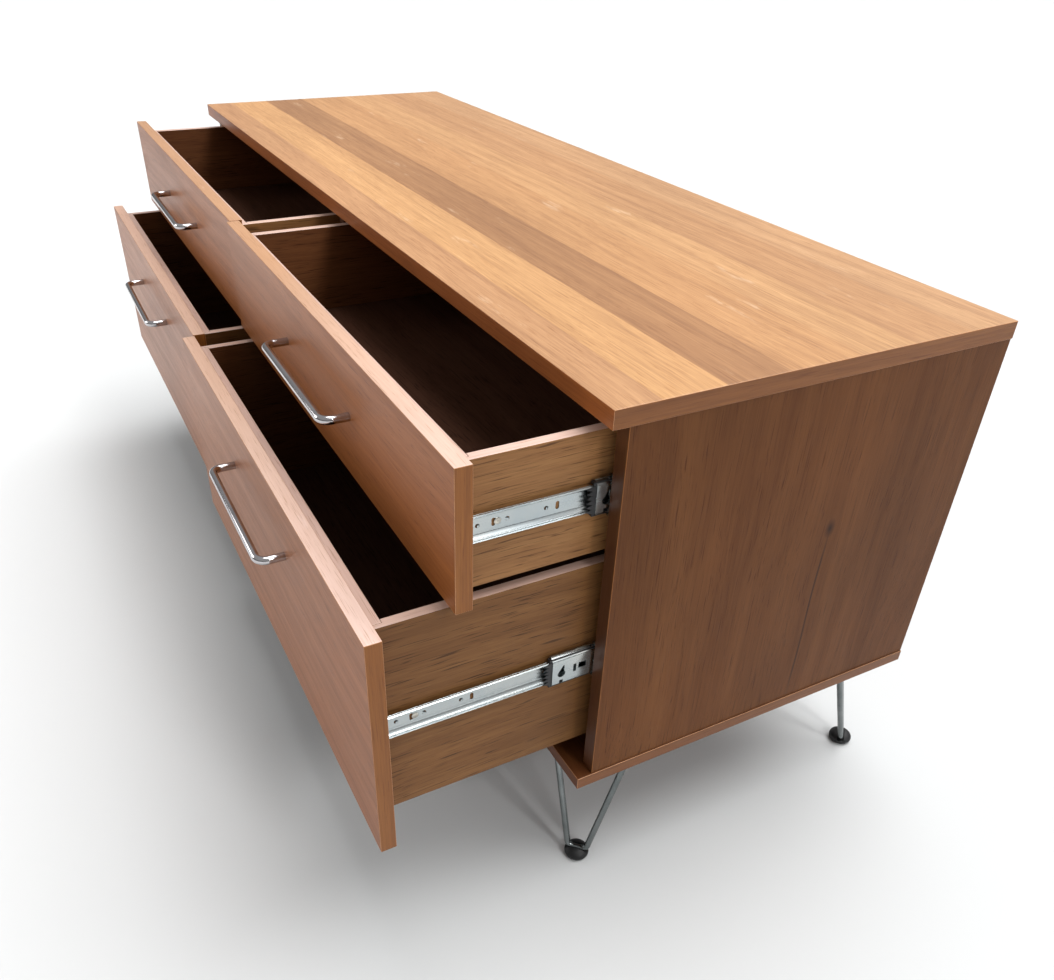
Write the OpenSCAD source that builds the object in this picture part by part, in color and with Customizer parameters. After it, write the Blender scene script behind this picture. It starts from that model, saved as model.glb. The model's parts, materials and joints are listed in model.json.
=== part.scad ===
/* [Overall] */
// Width of the top and bottom panels, end to end
width = 1524; // [1200:4:1900]
// Depth of the top and bottom panels, front to back
depth = 508; // [505:1:640]
// Height of the underside of the bottom panel above the floor
leg_h = 165; // [110:1:240]

/* [Carcass panels] */
// Thickness of the top panel
top_t = 20; // [16:1:30]
// Thickness of the bottom panel
bottom_t = 16; // [13:1:26]
// Thickness of the two side panels
side_t = 19; // [15:1:26]
// Thickness of the upright between the two columns of drawers
divider_t = 19; // [19:1:26]
// Thickness of the back panel
back_t = 6; // [4:0.5:8]
// How far the side panels stand in from the ends of the top
side_inset = 1.5; // [0.5:0.5:10]
// How far the side panels' front edges stand behind the top's front edge
front_recess = 19; // [19:0.5:30]
// Width of the step at the rear edges that holds the back panel
rebate_w = 8; // [5:0.5:10]

/* [Drawer fronts] */
// Height of the upper drawer fronts
upper_front_h = 151; // [145:1:200]
// Height of the lower drawer fronts
lower_front_h = 280; // [276:1:340]
// Thickness of the drawer fronts
front_t = 17.5; // [14:0.5:18]
// Gap between the top panel and the upper fronts
gap_top = 3; // [2:0.5:6]
// Gap between the upper and the lower fronts
gap_rows = 4; // [2:0.5:8]
// Gap between the lower fronts and the bottom panel
gap_bottom = 3; // [2:0.5:6]
// Gap between a front's outer end and the plane of the side panel
gap_end = 3; // [1:0.5:6]
// Gap between the left and the right fronts
gap_centre = 3; // [2:0.5:6]
// Gap between a closed front and the front edges of the carcass
stop_gap = 1; // [0.5:0.5:3]

/* [Drawer boxes] */
// Length of the drawer boxes, front to back
box_len = 457; // [400:1:470]
// Height of the upper boxes
upper_box_h = 136; // [110:1:136]
// Height of the lower boxes
lower_box_h = 243; // [200:1:260]
// How far an upper box's rim lies under the top edge of its front
upper_rim_drop = 13; // [12:0.5:20]
// How far a lower box's rim lies under the top edge of its front
lower_rim_drop = 9; // [6:0.5:20]
// Thickness of the boxes' walls
wall_t = 12; // [12:0.5:16]
// Thickness of the boxes' bottoms
box_bottom_t = 6; // [4:0.5:8]
// Height of the bottom's groove above the lower edge of a box
groove_up = 11; // [6:0.5:20]
// Depth of the grooves that hold a bottom
groove_d = 6; // [4:0.5:7]
// Depth of the corner rebates that the box's front and back sit in
corner_rebate = 6; // [4:0.5:8]

/* [Handles] */
// Diameter of the handle rod
handle_d = 10; // [8:0.5:14]
// Distance between the two screws of a handle
handle_pitch = 224; // [160:1:300]
// Distance from a front's face to the outside of its handle
handle_reach = 35; // [30:1:45]
// Bend radius of the handle rod, at its centre line
handle_bend_r = 12; // [11:0.5:14]
// How far a lower handle hangs under the top edge of its front
lower_handle_drop = 74; // [50:1:120]

/* [Drawer slides] */
// Length of a slide, which is also its full travel
slide_len = 457; // [360:1:470]
// Height of a slide's outer channel
slide_h = 46; // [44:0.5:48]
// Installed thickness of a slide
slide_t = 12.7; // [12.7:0.1:14]
// Thickness of the slides' steel
steel_t = 1.2; // [1:0.1:1.3]
// How far a slide starts behind the front edges of the carcass
slide_setback = 3; // [2:0.5:6]
// How far the middle channel starts behind the top's front edge when shut
middle_start = 65; // [60:1:80]
// Share of the drawer's travel that the middle channel makes
middle_ratio = 0.4; // [0.3:0.01:0.45]
// Gap between the outer and the middle channel, which a ball cage fills
outer_ball_gap = 2; // [1.8:0.1:2.4]
// Gap between the middle and the drawer's channel, which a ball cage fills
inner_ball_gap = 4.2; // [3:0.1:4.6]
// Free play between a ball cage and the channel that runs past it
cage_play = 0.45; // [0.35:0.05:0.6]

/* [Legs] */
// Diameter of the leg rod
leg_d = 8; // [6:0.5:12]
// Bend radius at the two corners of a foot, at the rod's centre line
leg_bend_r = 9; // [7:0.5:11]
// Half of the distance between the arms, measured at the flat foot
foot_half = 11.6; // [10:0.1:20]
// Half of the angle between the two arms of a leg
leg_half_angle = 12.55; // [9:0.05:15]
// Lean of a leg's plane, in towards the middle of the dresser
leg_lean = 12.87; // [9:0.01:15]
// Distance from a foot's centre to the edges of the bottom panel
foot_inset = 29; // [26:0.5:50]
// Side of the square plate welded to the arms
plate_w = 100; // [96:1:120]
// Thickness of that plate
plate_t = 3; // [2:0.5:5]
// Diameter of the glide under a foot
glide_d = 31; // [28:1:40]
// Height of the rod's centre line in the glide
glide_h = 11; // [9:0.5:16]

/* [Fasteners and fits] */
// Diameter of the wooden dowels
dowel_d = 8; // [6:0.5:8]
// Length of the wooden dowels
dowel_len = 30; // [26:1:34]
// How deep the dowels sit in the top and bottom panels
dowel_bite = 10; // [8:0.5:11]
// Diameter of the wood screws
screw_d = 3.5; // [3:0.1:4]
// Diameter of the handle screws
bolt_d = 4; // [3:0.5:5]
// How deep a slide screw reaches into the wood
slide_bite = 9; // [6:0.5:9]
// Radial clearance round every dowel and screw
fit = 0.05; // [0.02:0.01:0.1]
// Clearance between a loose panel and its groove or rebate
panel_fit = 0.25; // [0.1:0.05:0.5]

/* [Opening of each drawer] */
// Opening of the upper left drawer
open_upper_left = 143; // [0:1:400]
// Opening of the upper right drawer
open_upper_right = 148; // [0:1:400]
// Opening of the lower left drawer
open_lower_left = 219; // [0:1:400]
// Opening of the lower right drawer
open_lower_right = 235; // [0:1:400]

/* [Hidden] */

$fn = 48;

// The four drawers are [column, row]: column -1 left, 1 right; row 0 upper, 1 lower
upper_left = [-1, 0];
upper_right = [1, 0];
lower_left = [-1, 1];
lower_right = [1, 1];
drawers = [upper_left, upper_right, lower_left, lower_right];

function opening(d) =
    d[1] == 0 ? (d[0] < 0 ? open_upper_left : open_upper_right)
              : (d[0] < 0 ? open_lower_left : open_lower_right);

// Levels, from the floor up
deck_z = leg_h + bottom_t;
lower_front_z = deck_z + gap_bottom;
upper_front_z = lower_front_z + lower_front_h + gap_rows;
top_z = upper_front_z + upper_front_h + gap_top;
upright_h = top_z - deck_z;

// The overall box is centred front to back, with the widest drawer open
face_setback = front_recess - stop_gap - front_t;
most_open = max([for (d = drawers) opening(d)]);
front_y = (most_open + handle_reach - face_setback - depth) / 2;
back_y = front_y + depth;
carcass_y = front_y + front_recess;
back_face_y = back_y - back_t;
upright_depth = back_y - carcass_y;

// Each bay between an upright and the next
bay_w = width / 2 - side_inset - side_t - divider_t / 2;
box_w = bay_w - 2 * slide_t;
front_w = width / 2 - side_inset - gap_end - gap_centre / 2;

function bay_x(d) = d[0] * (divider_t + bay_w) / 2;
function front_x(d) = d[0] * (gap_centre + front_w) / 2;
function front_h(d) = d[1] == 0 ? upper_front_h : lower_front_h;
function front_z(d) = d[1] == 0 ? upper_front_z : lower_front_z;
function box_h(d) = d[1] == 0 ? upper_box_h : lower_box_h;
function rim_drop(d) = d[1] == 0 ? upper_rim_drop : lower_rim_drop;
function box_z(d) = front_z(d) + front_h(d) - rim_drop(d) - box_h(d);
function slide_z(d) = box_z(d) + box_h(d) / 2;
function box_y(d) = carcass_y - stop_gap - opening(d);
function face_y(d) = box_y(d) - front_t;
function middle_y(d) = front_y + middle_start - middle_ratio * opening(d);
function handle_z(d) =
    d[1] == 0 ? front_z(d) + front_h(d) / 2 : front_z(d) + front_h(d) - lower_handle_drop;

// The nested channels of a slide, counted from the upright towards the box
middle_len = slide_len - 47;
middle_in = 2.7;
cabinet_reach = 9.6;
middle_reach = 8.3;
drawer_reach = 7.7;
middle_h = slide_h - 2 * (steel_t + outer_ball_gap);
drawer_channel_h = middle_h - 2 * (steel_t + inner_ball_gap);
cage_len = 84;
cage_lead = 10;

// Centre of a leg's plate, over the middle of the two arms' upper ends
plate_inset = foot_inset + (leg_h - plate_t - glide_h) * tan(leg_lean) / sqrt(2);

// Screw heads and the places of the fasteners
head_r = screw_d + 0.1;
head_h = 0.9;
csk_h = 2;
bolt_head_r = bolt_d + 0.5;
bolt_head_h = 2.2;
bolt_bite = 9;
front_bite = 11;
leg_bite = bottom_t - 4;
back_bite = 12;
dowel_inset = plate_inset + 22;
end_play = 1;
slide_screw_places = [34, slide_len / 2, slide_len - 40];
plate_screw_r = plate_w / 2 - 13;

module panel(x0, y0, z0, x1, y1, z1) {
    translate([x0, y0, z0]) cube([x1 - x0, y1 - y0, z1 - z0]);
}

// A round hole along Y, from y0 to y1
module bore_y(x, y0, y1, z, r) {
    translate([x, y0, z]) rotate([-90, 0, 0]) cylinder(r = r, h = y1 - y0);
}

// A round hole along X, from x0 to x1
module bore_x(x0, x1, y, z, r) {
    translate([x0, y, z]) rotate([0, 90, 0]) cylinder(r = r, h = x1 - x0);
}

// ---- Dowels of the carcass ----

function upright_x() = let (x = width / 2 - side_inset - side_t / 2) [-x, 0, x];
function dowel_y() =
    [carcass_y + dowel_inset, (carcass_y + back_face_y) / 2, back_face_y - dowel_inset];

module dowels(extra_r, extra_h) {
    for (x = upright_x(), y = dowel_y()) {
        translate([x, y, top_z + dowel_bite - dowel_len - extra_h])
            cylinder(d = dowel_d + 2 * extra_r, h = dowel_len + 2 * extra_h);
        translate([x, y, deck_z - dowel_bite - extra_h])
            cylinder(d = dowel_d + 2 * extra_r, h = dowel_len + 2 * extra_h);
    }
}

module dowel_holes() {
    dowels(fit, end_play);
}

module carcass_dowels() {
    color("burlywood") dowels(0, 0);
}

// ---- Screws of the back panel ----

// Each place is [x, z] in the rebate or on the divider
back_x = width / 2 - side_inset - side_t + rebate_w / 2;
back_z = [deck_z - rebate_w / 2, top_z + rebate_w / 2];
function back_screw_places() = concat(
    [for (x = [-back_x, back_x], k = [1 : 3]) [x, deck_z + upright_h * k / 4]],
    [for (z = back_z, k = [-2 : 2]) [k * bay_w * 0.44, z]],
    [for (k = [1 : 3]) [0, deck_z + upright_h * k / 4]]
);

module back_screws(extra) {
    for (p = back_screw_places()) {
        bore_y(p[0], back_y - back_t - back_bite - extra, back_y - csk_h, p[1],
            screw_d / 2 + extra);
        bore_y(p[0], back_y - csk_h, back_y - (extra > 0 ? -1 : 0.2), p[1], head_r + extra);
    }
}

module back_panel_screws() {
    color("silver") back_screws(0);
}

// ---- Screws of the slides ----

// Screws through the cabinet channels into an upright; side is the way they point
module cabinet_screws(d, side, extra) {
    wall = bay_x(d) + side * bay_w / 2;
    for (along = slide_screw_places) {
        y = carcass_y + slide_setback + along;
        reach = slide_bite + extra;
        bore_x(min(wall - side * steel_t, wall + side * reach),
            max(wall - side * steel_t, wall + side * reach), y, slide_z(d),
            screw_d / 2 + extra);
    }
}

module cabinet_screw_heads(d, side) {
    web = bay_x(d) + side * (bay_w / 2 - steel_t);
    for (along = slide_screw_places) {
        y = carcass_y + slide_setback + along;
        bore_x(min(web, web - side * head_h), max(web, web - side * head_h), y,
            slide_z(d), head_r);
    }
}

module slide_cabinet_screws() {
    color("silver") for (d = drawers, side = [-1, 1]) {
        cabinet_screws(d, side, 0);
        cabinet_screw_heads(d, side);
    }
}

// ---- Carcass panels ----

module rear_rebate() {
    x = width / 2 - side_inset - side_t + rebate_w;
    panel(-x, back_face_y, deck_z - rebate_w, x, back_y + 1, top_z + rebate_w);
}

module top_panel() {
    color("peru") difference() {
        panel(-width / 2, front_y, top_z, width / 2, back_y, top_z + top_t);
        rear_rebate();
        dowel_holes();
        back_screws(fit);
    }
}

module bottom_panel() {
    color("peru") difference() {
        panel(-width / 2, front_y, leg_h, width / 2, back_y, deck_z);
        rear_rebate();
        dowel_holes();
        back_screws(fit);
        all_leg_screws(fit);
    }
}

module side_panel(side) {
    x = width / 2 - side_inset;
    difference() {
        panel(min(side * x, side * (x - side_t)), carcass_y, deck_z,
            max(side * x, side * (x - side_t)), back_y, top_z);
        rear_rebate();
        dowel_holes();
        back_screws(fit);
        for (row = [0, 1]) cabinet_screws([side, row], side, fit);
    }
}

module side_panel_left() {
    color("sienna") side_panel(-1);
}

module side_panel_right() {
    color("sienna") side_panel(1);
}

module centre_divider() {
    color("sienna") difference() {
        panel(-divider_t / 2, carcass_y, deck_z, divider_t / 2, back_face_y, top_z);
        dowel_holes();
        back_screws(fit);
        for (d = drawers) cabinet_screws(d, -d[0], fit);
    }
}

module back_panel() {
    x = width / 2 - side_inset - side_t + rebate_w - panel_fit;
    z = rebate_w - panel_fit;
    color("saddlebrown") difference() {
        panel(-x, back_face_y, deck_z - z, x, back_y, top_z + z);
        back_screws(fit);
    }
}

// ---- Legs ----

// Each corner is [x side, y side]
corners = [[-1, -1], [1, -1], [-1, 1], [1, 1]];

function corner_point(c, inset) = [
    c[0] * (width / 2 - inset),
    c[1] < 0 ? front_y + inset : back_y - inset
];

// Turn that points a leg's lean at the middle of the dresser
function corner_turn(c) = c[1] < 0 ? 45 * c[0] : 135 * c[0];

// The rod swells by a hair where it runs into a bend
swell = 0.1;
swell_len = 1.6;

// Each corner of a foot turns the rod from the flat up into an arm
corner_angle = 90 - leg_half_angle;
flat_half = foot_half - leg_bend_r * tan(corner_angle / 2);

module foot_corner(s, r) {
    translate([s * flat_half, 0, leg_bend_r]) rotate([90, 0, 0])
        rotate([0, 0, s > 0 ? -90 : 270 - corner_angle])
            rotate_extrude(angle = corner_angle) translate([leg_bend_r, 0]) circle(r = r);
}

// The rod of one leg in its own upright plane, its lowest centre point at the origin
module leg_rod(r, arm) {
    half = flat_half + swell_len / 2;
    translate([-half, 0, 0]) rotate([0, 90, 0]) cylinder(r = r + swell, h = 2 * half);
    for (s = [-1, 1]) {
        foot_corner(s, r);
        translate([s * (flat_half + leg_bend_r * cos(leg_half_angle)), 0,
                leg_bend_r * (1 - sin(leg_half_angle))])
            rotate([0, s * leg_half_angle, 0]) {
                translate([0, 0, swell_len / 4]) cylinder(r = r, h = arm);
                translate([0, 0, -swell_len / 2]) cylinder(r = r + swell, h = swell_len);
            }
    }
}

module at_foot(c) {
    p = corner_point(c, foot_inset);
    translate([p[0], p[1], glide_h]) rotate([0, 0, corner_turn(c)])
        rotate([-leg_lean, 0, 0]) children();
}

module leg_screw_set(c, extra) {
    p = corner_point(c, plate_inset);
    for (turn = [0 : 90 : 270])
        translate([p[0], p[1], leg_h - plate_t - 0.01])
            rotate([0, 0, turn]) translate([plate_screw_r, 0, 0])
                cylinder(d = screw_d + 1 + 2 * extra, h = plate_t + leg_bite + extra);
}

module all_leg_screws(extra) {
    for (c = corners) leg_screw_set(c, extra);
}

module leg(c) {
    p = corner_point(c, plate_inset);
    color("dimgray") difference() {
        union() {
            translate([p[0], p[1], leg_h - plate_t / 2])
                cube([plate_w, plate_w, plate_t], center = true);
            difference() {
                at_foot(c) leg_rod(leg_d / 2, leg_h + 60);
                translate([p[0], p[1], leg_h - plate_t / 2 + 100])
                    cube([600, 600, 200], center = true);
            }
        }
        leg_screw_set(c, fit);
    }
}

module leg_front_left() {
    leg(corners[0]);
}

module leg_front_right() {
    leg(corners[1]);
}

module leg_rear_left() {
    leg(corners[2]);
}

module leg_rear_right() {
    leg(corners[3]);
}

module leg_screws() {
    color("silver") {
        all_leg_screws(0);
        for (c = corners, turn = [0 : 90 : 270]) {
            p = corner_point(c, plate_inset);
            translate([p[0], p[1], leg_h - plate_t - csk_h])
                rotate([0, 0, turn]) translate([plate_screw_r, 0, 0])
                    cylinder(r = head_r + 1, h = csk_h);
        }
    }
}

// A low round dome on a small flat base; the rod's groove across it is cut later
function glide_profile() =
    let (base = glide_d * 0.32, side = glide_d / 2, mid = glide_h / 2,
         crest = glide_h + leg_d / 2 - mid)
    concat([[0, 0]],
        [for (a = [0 : 15 : 90]) [base + (side - base) * sin(a), mid * (1 - cos(a))]],
        [for (a = [15 : 15 : 90]) [side * cos(a), mid + crest * sin(a)]]);

module glide(c) {
    p = corner_point(c, foot_inset);
    difference() {
        translate([p[0], p[1], 0]) rotate_extrude() polygon(glide_profile());
        at_foot(c) leg_rod(leg_d / 2 + swell + fit, glide_d);
        groove(c);
    }
}

// The space straight up from the rod, so that the rod drops into the glide
module groove(c) {
    p = corner_point(c, foot_inset);
    w = leg_d + 2 * (2 * swell + fit);
    translate([p[0], p[1], glide_h]) rotate([0, 0, corner_turn(c)])
        translate([-glide_d / 2 - 1, -w / 2, 0]) cube([glide_d + 2, w, leg_d]);
}

module glides() {
    color("black") for (c = corners) glide(c);
}

// ---- Drawer slides ----

// A steel channel along Y with its web at x = 0 and its flanges pointing to +x
module channel(h, reach, len) {
    rotate([-90, 0, 0]) linear_extrude(len) polygon([
        [0, -h / 2], [reach, -h / 2], [reach, -h / 2 + steel_t],
        [steel_t, -h / 2 + steel_t], [steel_t, h / 2 - steel_t],
        [reach, h / 2 - steel_t], [reach, h / 2], [0, h / 2]
    ]);
}

// Place at an upright's face, at the slide's height, with +x towards the box
module at_slide(d, side) {
    translate([bay_x(d) - side * bay_w / 2, 0, slide_z(d)])
        mirror([side < 0 ? 1 : 0, 0, 0]) children();
}

module slide_cabinet_channels() {
    color("lightsteelblue") difference() {
        for (d = drawers, side = [-1, 1])
            at_slide(d, side) translate([0, carcass_y + slide_setback, 0])
                channel(slide_h, cabinet_reach, slide_len);
        for (d = drawers, side = [-1, 1]) cabinet_screws(d, side, fit);
    }
}

module middle_channels(d) {
    color("silver") for (side = [-1, 1])
        at_slide(d, side) translate([middle_in, middle_y(d), 0])
            channel(middle_h, middle_reach, middle_len);
}

// One strip of a cage over the middle channel's flange, one under it
module cage_strips(y0, inner_half, outer_half) {
    for (up = [-1, 1])
        panel(middle_in + 1.6, y0, up > 0 ? inner_half : -outer_half,
            middle_in + middle_reach - 1.2, y0 + cage_len, up > 0 ? outer_half : -inner_half);
}

// The web that joins the two strips of an inner cage at its front end
module cage_bridge(y0, half) {
    panel(middle_in + steel_t + 2 * fit, y0, -half, slide_t - drawer_reach - cage_play,
        y0 + cage_lead, half);
}

module ball_cages(d) {
    inside_half = middle_h / 2 - steel_t;
    outside_half = middle_h / 2;
    color("black") for (side = [-1, 1]) at_slide(d, side) {
        cage_strips(middle_y(d) - cage_lead, inside_half - inner_ball_gap + cage_play,
            inside_half - 2 * fit);
        cage_bridge(middle_y(d) - cage_lead, inside_half - inner_ball_gap + cage_play);
        cage_strips(middle_y(d) + middle_len - cage_len, outside_half + 2 * fit,
            outside_half + outer_ball_gap - cage_play);
    }
}

// Places of the slots and holes in the web of a drawer's channel
module channel_holes() {
    for (along = [12, 58])
        bore_x(-1, steel_t + 1, along, 0, 3.2);
    for (along = [30, 96, slide_len - 80], up = [-1, 1])
        oblong_hole(along, up * 3.5);
}

module oblong_hole(along, up) {
    bore_x(-1, steel_t + 1, along, up, 2.3);
    panel(-1, along - 2.3, min(0, up), steel_t + 1, along + 2.3, max(0, up));
}

module slide_channels(d) {
    color("silver") difference() {
        for (side = [-1, 1])
            at_slide(d, side) translate([slide_t, box_y(d) + slide_setback, 0])
                mirror([1, 0, 0]) difference() {
                    channel(drawer_channel_h, drawer_reach, slide_len);
                    channel_holes();
                }
        drawer_slide_screws(d, fit);
    }
}

// Screws through a drawer's channels into the walls of its box
module drawer_slide_screws(d, extra) {
    for (side = [-1, 1], along = slide_screw_places) {
        web = bay_x(d) + side * (box_w / 2 + steel_t);
        tip = bay_x(d) + side * (box_w / 2 - slide_bite - extra);
        bore_x(min(web, tip), max(web, tip), box_y(d) + slide_setback + along,
            slide_z(d), screw_d / 2 + extra);
    }
}

module drawer_slide_heads(d) {
    for (side = [-1, 1], along = slide_screw_places) {
        web = bay_x(d) + side * (box_w / 2 + steel_t);
        bore_x(min(web, web + side * head_h), max(web, web + side * head_h),
            box_y(d) + slide_setback + along, slide_z(d), head_r);
    }
}

// ---- Drawers ----

// Screws from inside the box into the back of the front
function front_screw_places(d) =
    [for (x = [-1, 1], z = [0.2, 0.8]) [bay_x(d) + x * box_w * 0.42, box_z(d) + z * box_h(d)]];

module front_screws(d, extra) {
    for (p = front_screw_places(d))
        bore_y(p[0], box_y(d) - front_bite - extra, box_y(d) + wall_t, p[1],
            screw_d / 2 + extra);
}

module handle_bolts(d, extra) {
    for (s = [-1, 1])
        bore_y(front_x(d) + s * handle_pitch / 2, face_y(d) - bolt_bite - extra,
            box_y(d) + wall_t, handle_z(d), bolt_d / 2 + extra);
}

module drawer_front(d) {
    x = front_x(d);
    color("chocolate") difference() {
        panel(x - front_w / 2, face_y(d), front_z(d), x + front_w / 2, box_y(d),
            front_z(d) + front_h(d));
        front_screws(d, fit);
        handle_bolts(d, fit);
    }
}

// The space of the bottom's groove, all round inside the four walls
module bottom_groove(d) {
    x = box_w / 2 - wall_t + groove_d;
    y = box_y(d) + wall_t - groove_d;
    panel(bay_x(d) - x, y, box_z(d) + groove_up, bay_x(d) + x,
        box_y(d) + box_len - wall_t + groove_d, box_z(d) + groove_up + box_bottom_t);
}

module box_wall(d, side) {
    x1 = bay_x(d) + side * box_w / 2;
    x0 = x1 - side * wall_t;
    step = x1 - side * (wall_t - corner_rebate);
    difference() {
        panel(min(x0, x1), box_y(d), box_z(d), max(x0, x1), box_y(d) + box_len,
            box_z(d) + box_h(d));
        for (y = [box_y(d) - 1, box_y(d) + box_len - wall_t])
            panel(min(x0, step) - (side > 0 ? 1 : 0), y, box_z(d) - 1,
                max(x0, step) + (side < 0 ? 1 : 0), y + wall_t + 1, box_z(d) + box_h(d) + 1);
        bottom_groove(d);
        drawer_slide_screws(d, fit);
    }
}

module box_left(d) {
    color("sienna") box_wall(d, -1);
}

module box_right(d) {
    color("sienna") box_wall(d, 1);
}

// The box's front or back, between the corner rebates of its two side walls
module cross_wall(d, y) {
    x = box_w / 2 - wall_t + corner_rebate;
    panel(bay_x(d) - x, y, box_z(d), bay_x(d) + x, y + wall_t, box_z(d) + box_h(d));
}

module box_front(d) {
    color("sienna") difference() {
        cross_wall(d, box_y(d));
        bottom_groove(d);
        front_screws(d, fit);
        handle_bolts(d, fit);
    }
}

module box_back(d) {
    color("sienna") difference() {
        cross_wall(d, box_y(d) + box_len - wall_t);
        bottom_groove(d);
    }
}

module box_bottom(d) {
    x = box_w / 2 - wall_t + groove_d - panel_fit;
    y = wall_t - groove_d + panel_fit;
    color("saddlebrown")
        panel(bay_x(d) - x, box_y(d) + y, box_z(d) + groove_up + panel_fit, bay_x(d) + x,
            box_y(d) + box_len - y, box_z(d) + groove_up + box_bottom_t - panel_fit);
}

module drawer_screws(d) {
    color("silver") {
        front_screws(d, 0);
        handle_bolts(d, 0);
        drawer_slide_screws(d, 0);
        drawer_slide_heads(d);
        for (p = front_screw_places(d))
            bore_y(p[0], box_y(d) + wall_t, box_y(d) + wall_t + csk_h, p[1], head_r);
        for (s = [-1, 1])
            bore_y(front_x(d) + s * handle_pitch / 2, box_y(d) + wall_t,
                box_y(d) + wall_t + bolt_head_h, handle_z(d), bolt_head_r);
    }
}

// A round rod with two legs and a bar, bent at both corners
module handle(d) {
    r = handle_d / 2;
    out = handle_reach - r;
    half = handle_pitch / 2;
    color("gainsboro") difference() {
        translate([front_x(d), face_y(d), handle_z(d)]) {
            for (s = [-1, 1]) {
                translate([s * half, 0, 0]) rotate([90, 0, 0])
                    cylinder(r = r, h = out - handle_bend_r);
                translate([s * (half - handle_bend_r), -out + handle_bend_r, 0])
                    rotate([0, 0, s > 0 ? -90 : 180]) rotate_extrude(angle = 90)
                        translate([handle_bend_r, 0]) circle(r = r);
            }
            translate([-half + handle_bend_r, -out, 0]) rotate([0, 90, 0])
                cylinder(r = r, h = 2 * (half - handle_bend_r));
        }
        handle_bolts(d, fit);
    }
}

top_panel();
bottom_panel();
side_panel_left();
side_panel_right();
centre_divider();
back_panel();
carcass_dowels();
back_panel_screws();
leg_front_left();
leg_front_right();
leg_rear_left();
leg_rear_right();
leg_screws();
glides();
slide_cabinet_channels();
slide_cabinet_screws();
drawer_front(upper_left);  // upper_left_front
handle(upper_left);  // upper_left_handle
box_front(upper_left);  // upper_left_box_front
box_back(upper_left);  // upper_left_box_back
box_left(upper_left);  // upper_left_box_left
box_right(upper_left);  // upper_left_box_right
box_bottom(upper_left);  // upper_left_box_bottom
drawer_screws(upper_left);  // upper_left_screws
slide_channels(upper_left);  // upper_left_slide_channels
middle_channels(upper_left);  // upper_left_middle_channels
ball_cages(upper_left);  // upper_left_ball_cages
drawer_front(upper_right);  // upper_right_front
handle(upper_right);  // upper_right_handle
box_front(upper_right);  // upper_right_box_front
box_back(upper_right);  // upper_right_box_back
box_left(upper_right);  // upper_right_box_left
box_right(upper_right);  // upper_right_box_right
box_bottom(upper_right);  // upper_right_box_bottom
drawer_screws(upper_right);  // upper_right_screws
slide_channels(upper_right);  // upper_right_slide_channels
middle_channels(upper_right);  // upper_right_middle_channels
ball_cages(upper_right);  // upper_right_ball_cages
drawer_front(lower_left);  // lower_left_front
handle(lower_left);  // lower_left_handle
box_front(lower_left);  // lower_left_box_front
box_back(lower_left);  // lower_left_box_back
box_left(lower_left);  // lower_left_box_left
box_right(lower_left);  // lower_left_box_right
box_bottom(lower_left);  // lower_left_box_bottom
drawer_screws(lower_left);  // lower_left_screws
slide_channels(lower_left);  // lower_left_slide_channels
middle_channels(lower_left);  // lower_left_middle_channels
ball_cages(lower_left);  // lower_left_ball_cages
drawer_front(lower_right);  // lower_right_front
handle(lower_right);  // lower_right_handle
box_front(lower_right);  // lower_right_box_front
box_back(lower_right);  // lower_right_box_back
box_left(lower_right);  // lower_right_box_left
box_right(lower_right);  // lower_right_box_right
box_bottom(lower_right);  // lower_right_box_bottom
drawer_screws(lower_right);  // lower_right_screws
slide_channels(lower_right);  // lower_right_slide_channels
middle_channels(lower_right);  // lower_right_middle_channels
ball_cages(lower_right);  // lower_right_ball_cages
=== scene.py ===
import json
import math
import bpy
from mathutils import Matrix, Vector

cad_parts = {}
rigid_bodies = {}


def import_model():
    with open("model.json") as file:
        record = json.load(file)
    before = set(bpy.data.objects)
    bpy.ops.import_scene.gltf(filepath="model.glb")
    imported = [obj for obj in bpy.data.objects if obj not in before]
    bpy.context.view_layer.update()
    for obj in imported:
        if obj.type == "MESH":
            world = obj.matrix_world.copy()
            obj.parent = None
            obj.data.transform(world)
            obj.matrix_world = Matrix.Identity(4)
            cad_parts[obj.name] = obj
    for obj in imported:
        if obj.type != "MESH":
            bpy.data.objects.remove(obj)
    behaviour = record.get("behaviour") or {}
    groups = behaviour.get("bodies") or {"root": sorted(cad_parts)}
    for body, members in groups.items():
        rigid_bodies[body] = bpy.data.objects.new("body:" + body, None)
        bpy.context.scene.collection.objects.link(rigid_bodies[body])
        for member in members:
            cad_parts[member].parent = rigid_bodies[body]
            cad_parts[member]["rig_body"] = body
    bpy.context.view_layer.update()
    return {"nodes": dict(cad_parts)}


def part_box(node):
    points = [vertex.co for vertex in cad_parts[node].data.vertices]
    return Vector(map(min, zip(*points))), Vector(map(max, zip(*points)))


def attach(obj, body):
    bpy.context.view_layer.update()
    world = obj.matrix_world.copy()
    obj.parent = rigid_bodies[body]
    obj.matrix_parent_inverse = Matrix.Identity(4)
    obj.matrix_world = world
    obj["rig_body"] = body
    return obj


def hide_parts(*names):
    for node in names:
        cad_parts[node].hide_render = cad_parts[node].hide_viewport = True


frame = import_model()
mm = 0.001
weldReach = 0.01 * mm      # points closer than this become one
facing = 0.9               # a face looks along an axis when its normal has more than this of it
flatFacing = 0.93          # the same for a face that isn't an eased edge
mostlyFacing = 0.7         # the same with the eased edge counted in
drawerNames = ("upper_left", "upper_right", "lower_left", "lower_right")


# Camera
cameraSettings = {
    "place": (1.3434, -0.532, 0.9889),
    "turn": (54.883, -1.434, 62.516),
    "lens": 31.507,
    "shift": (0.0168, 0.0601),
}


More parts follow.
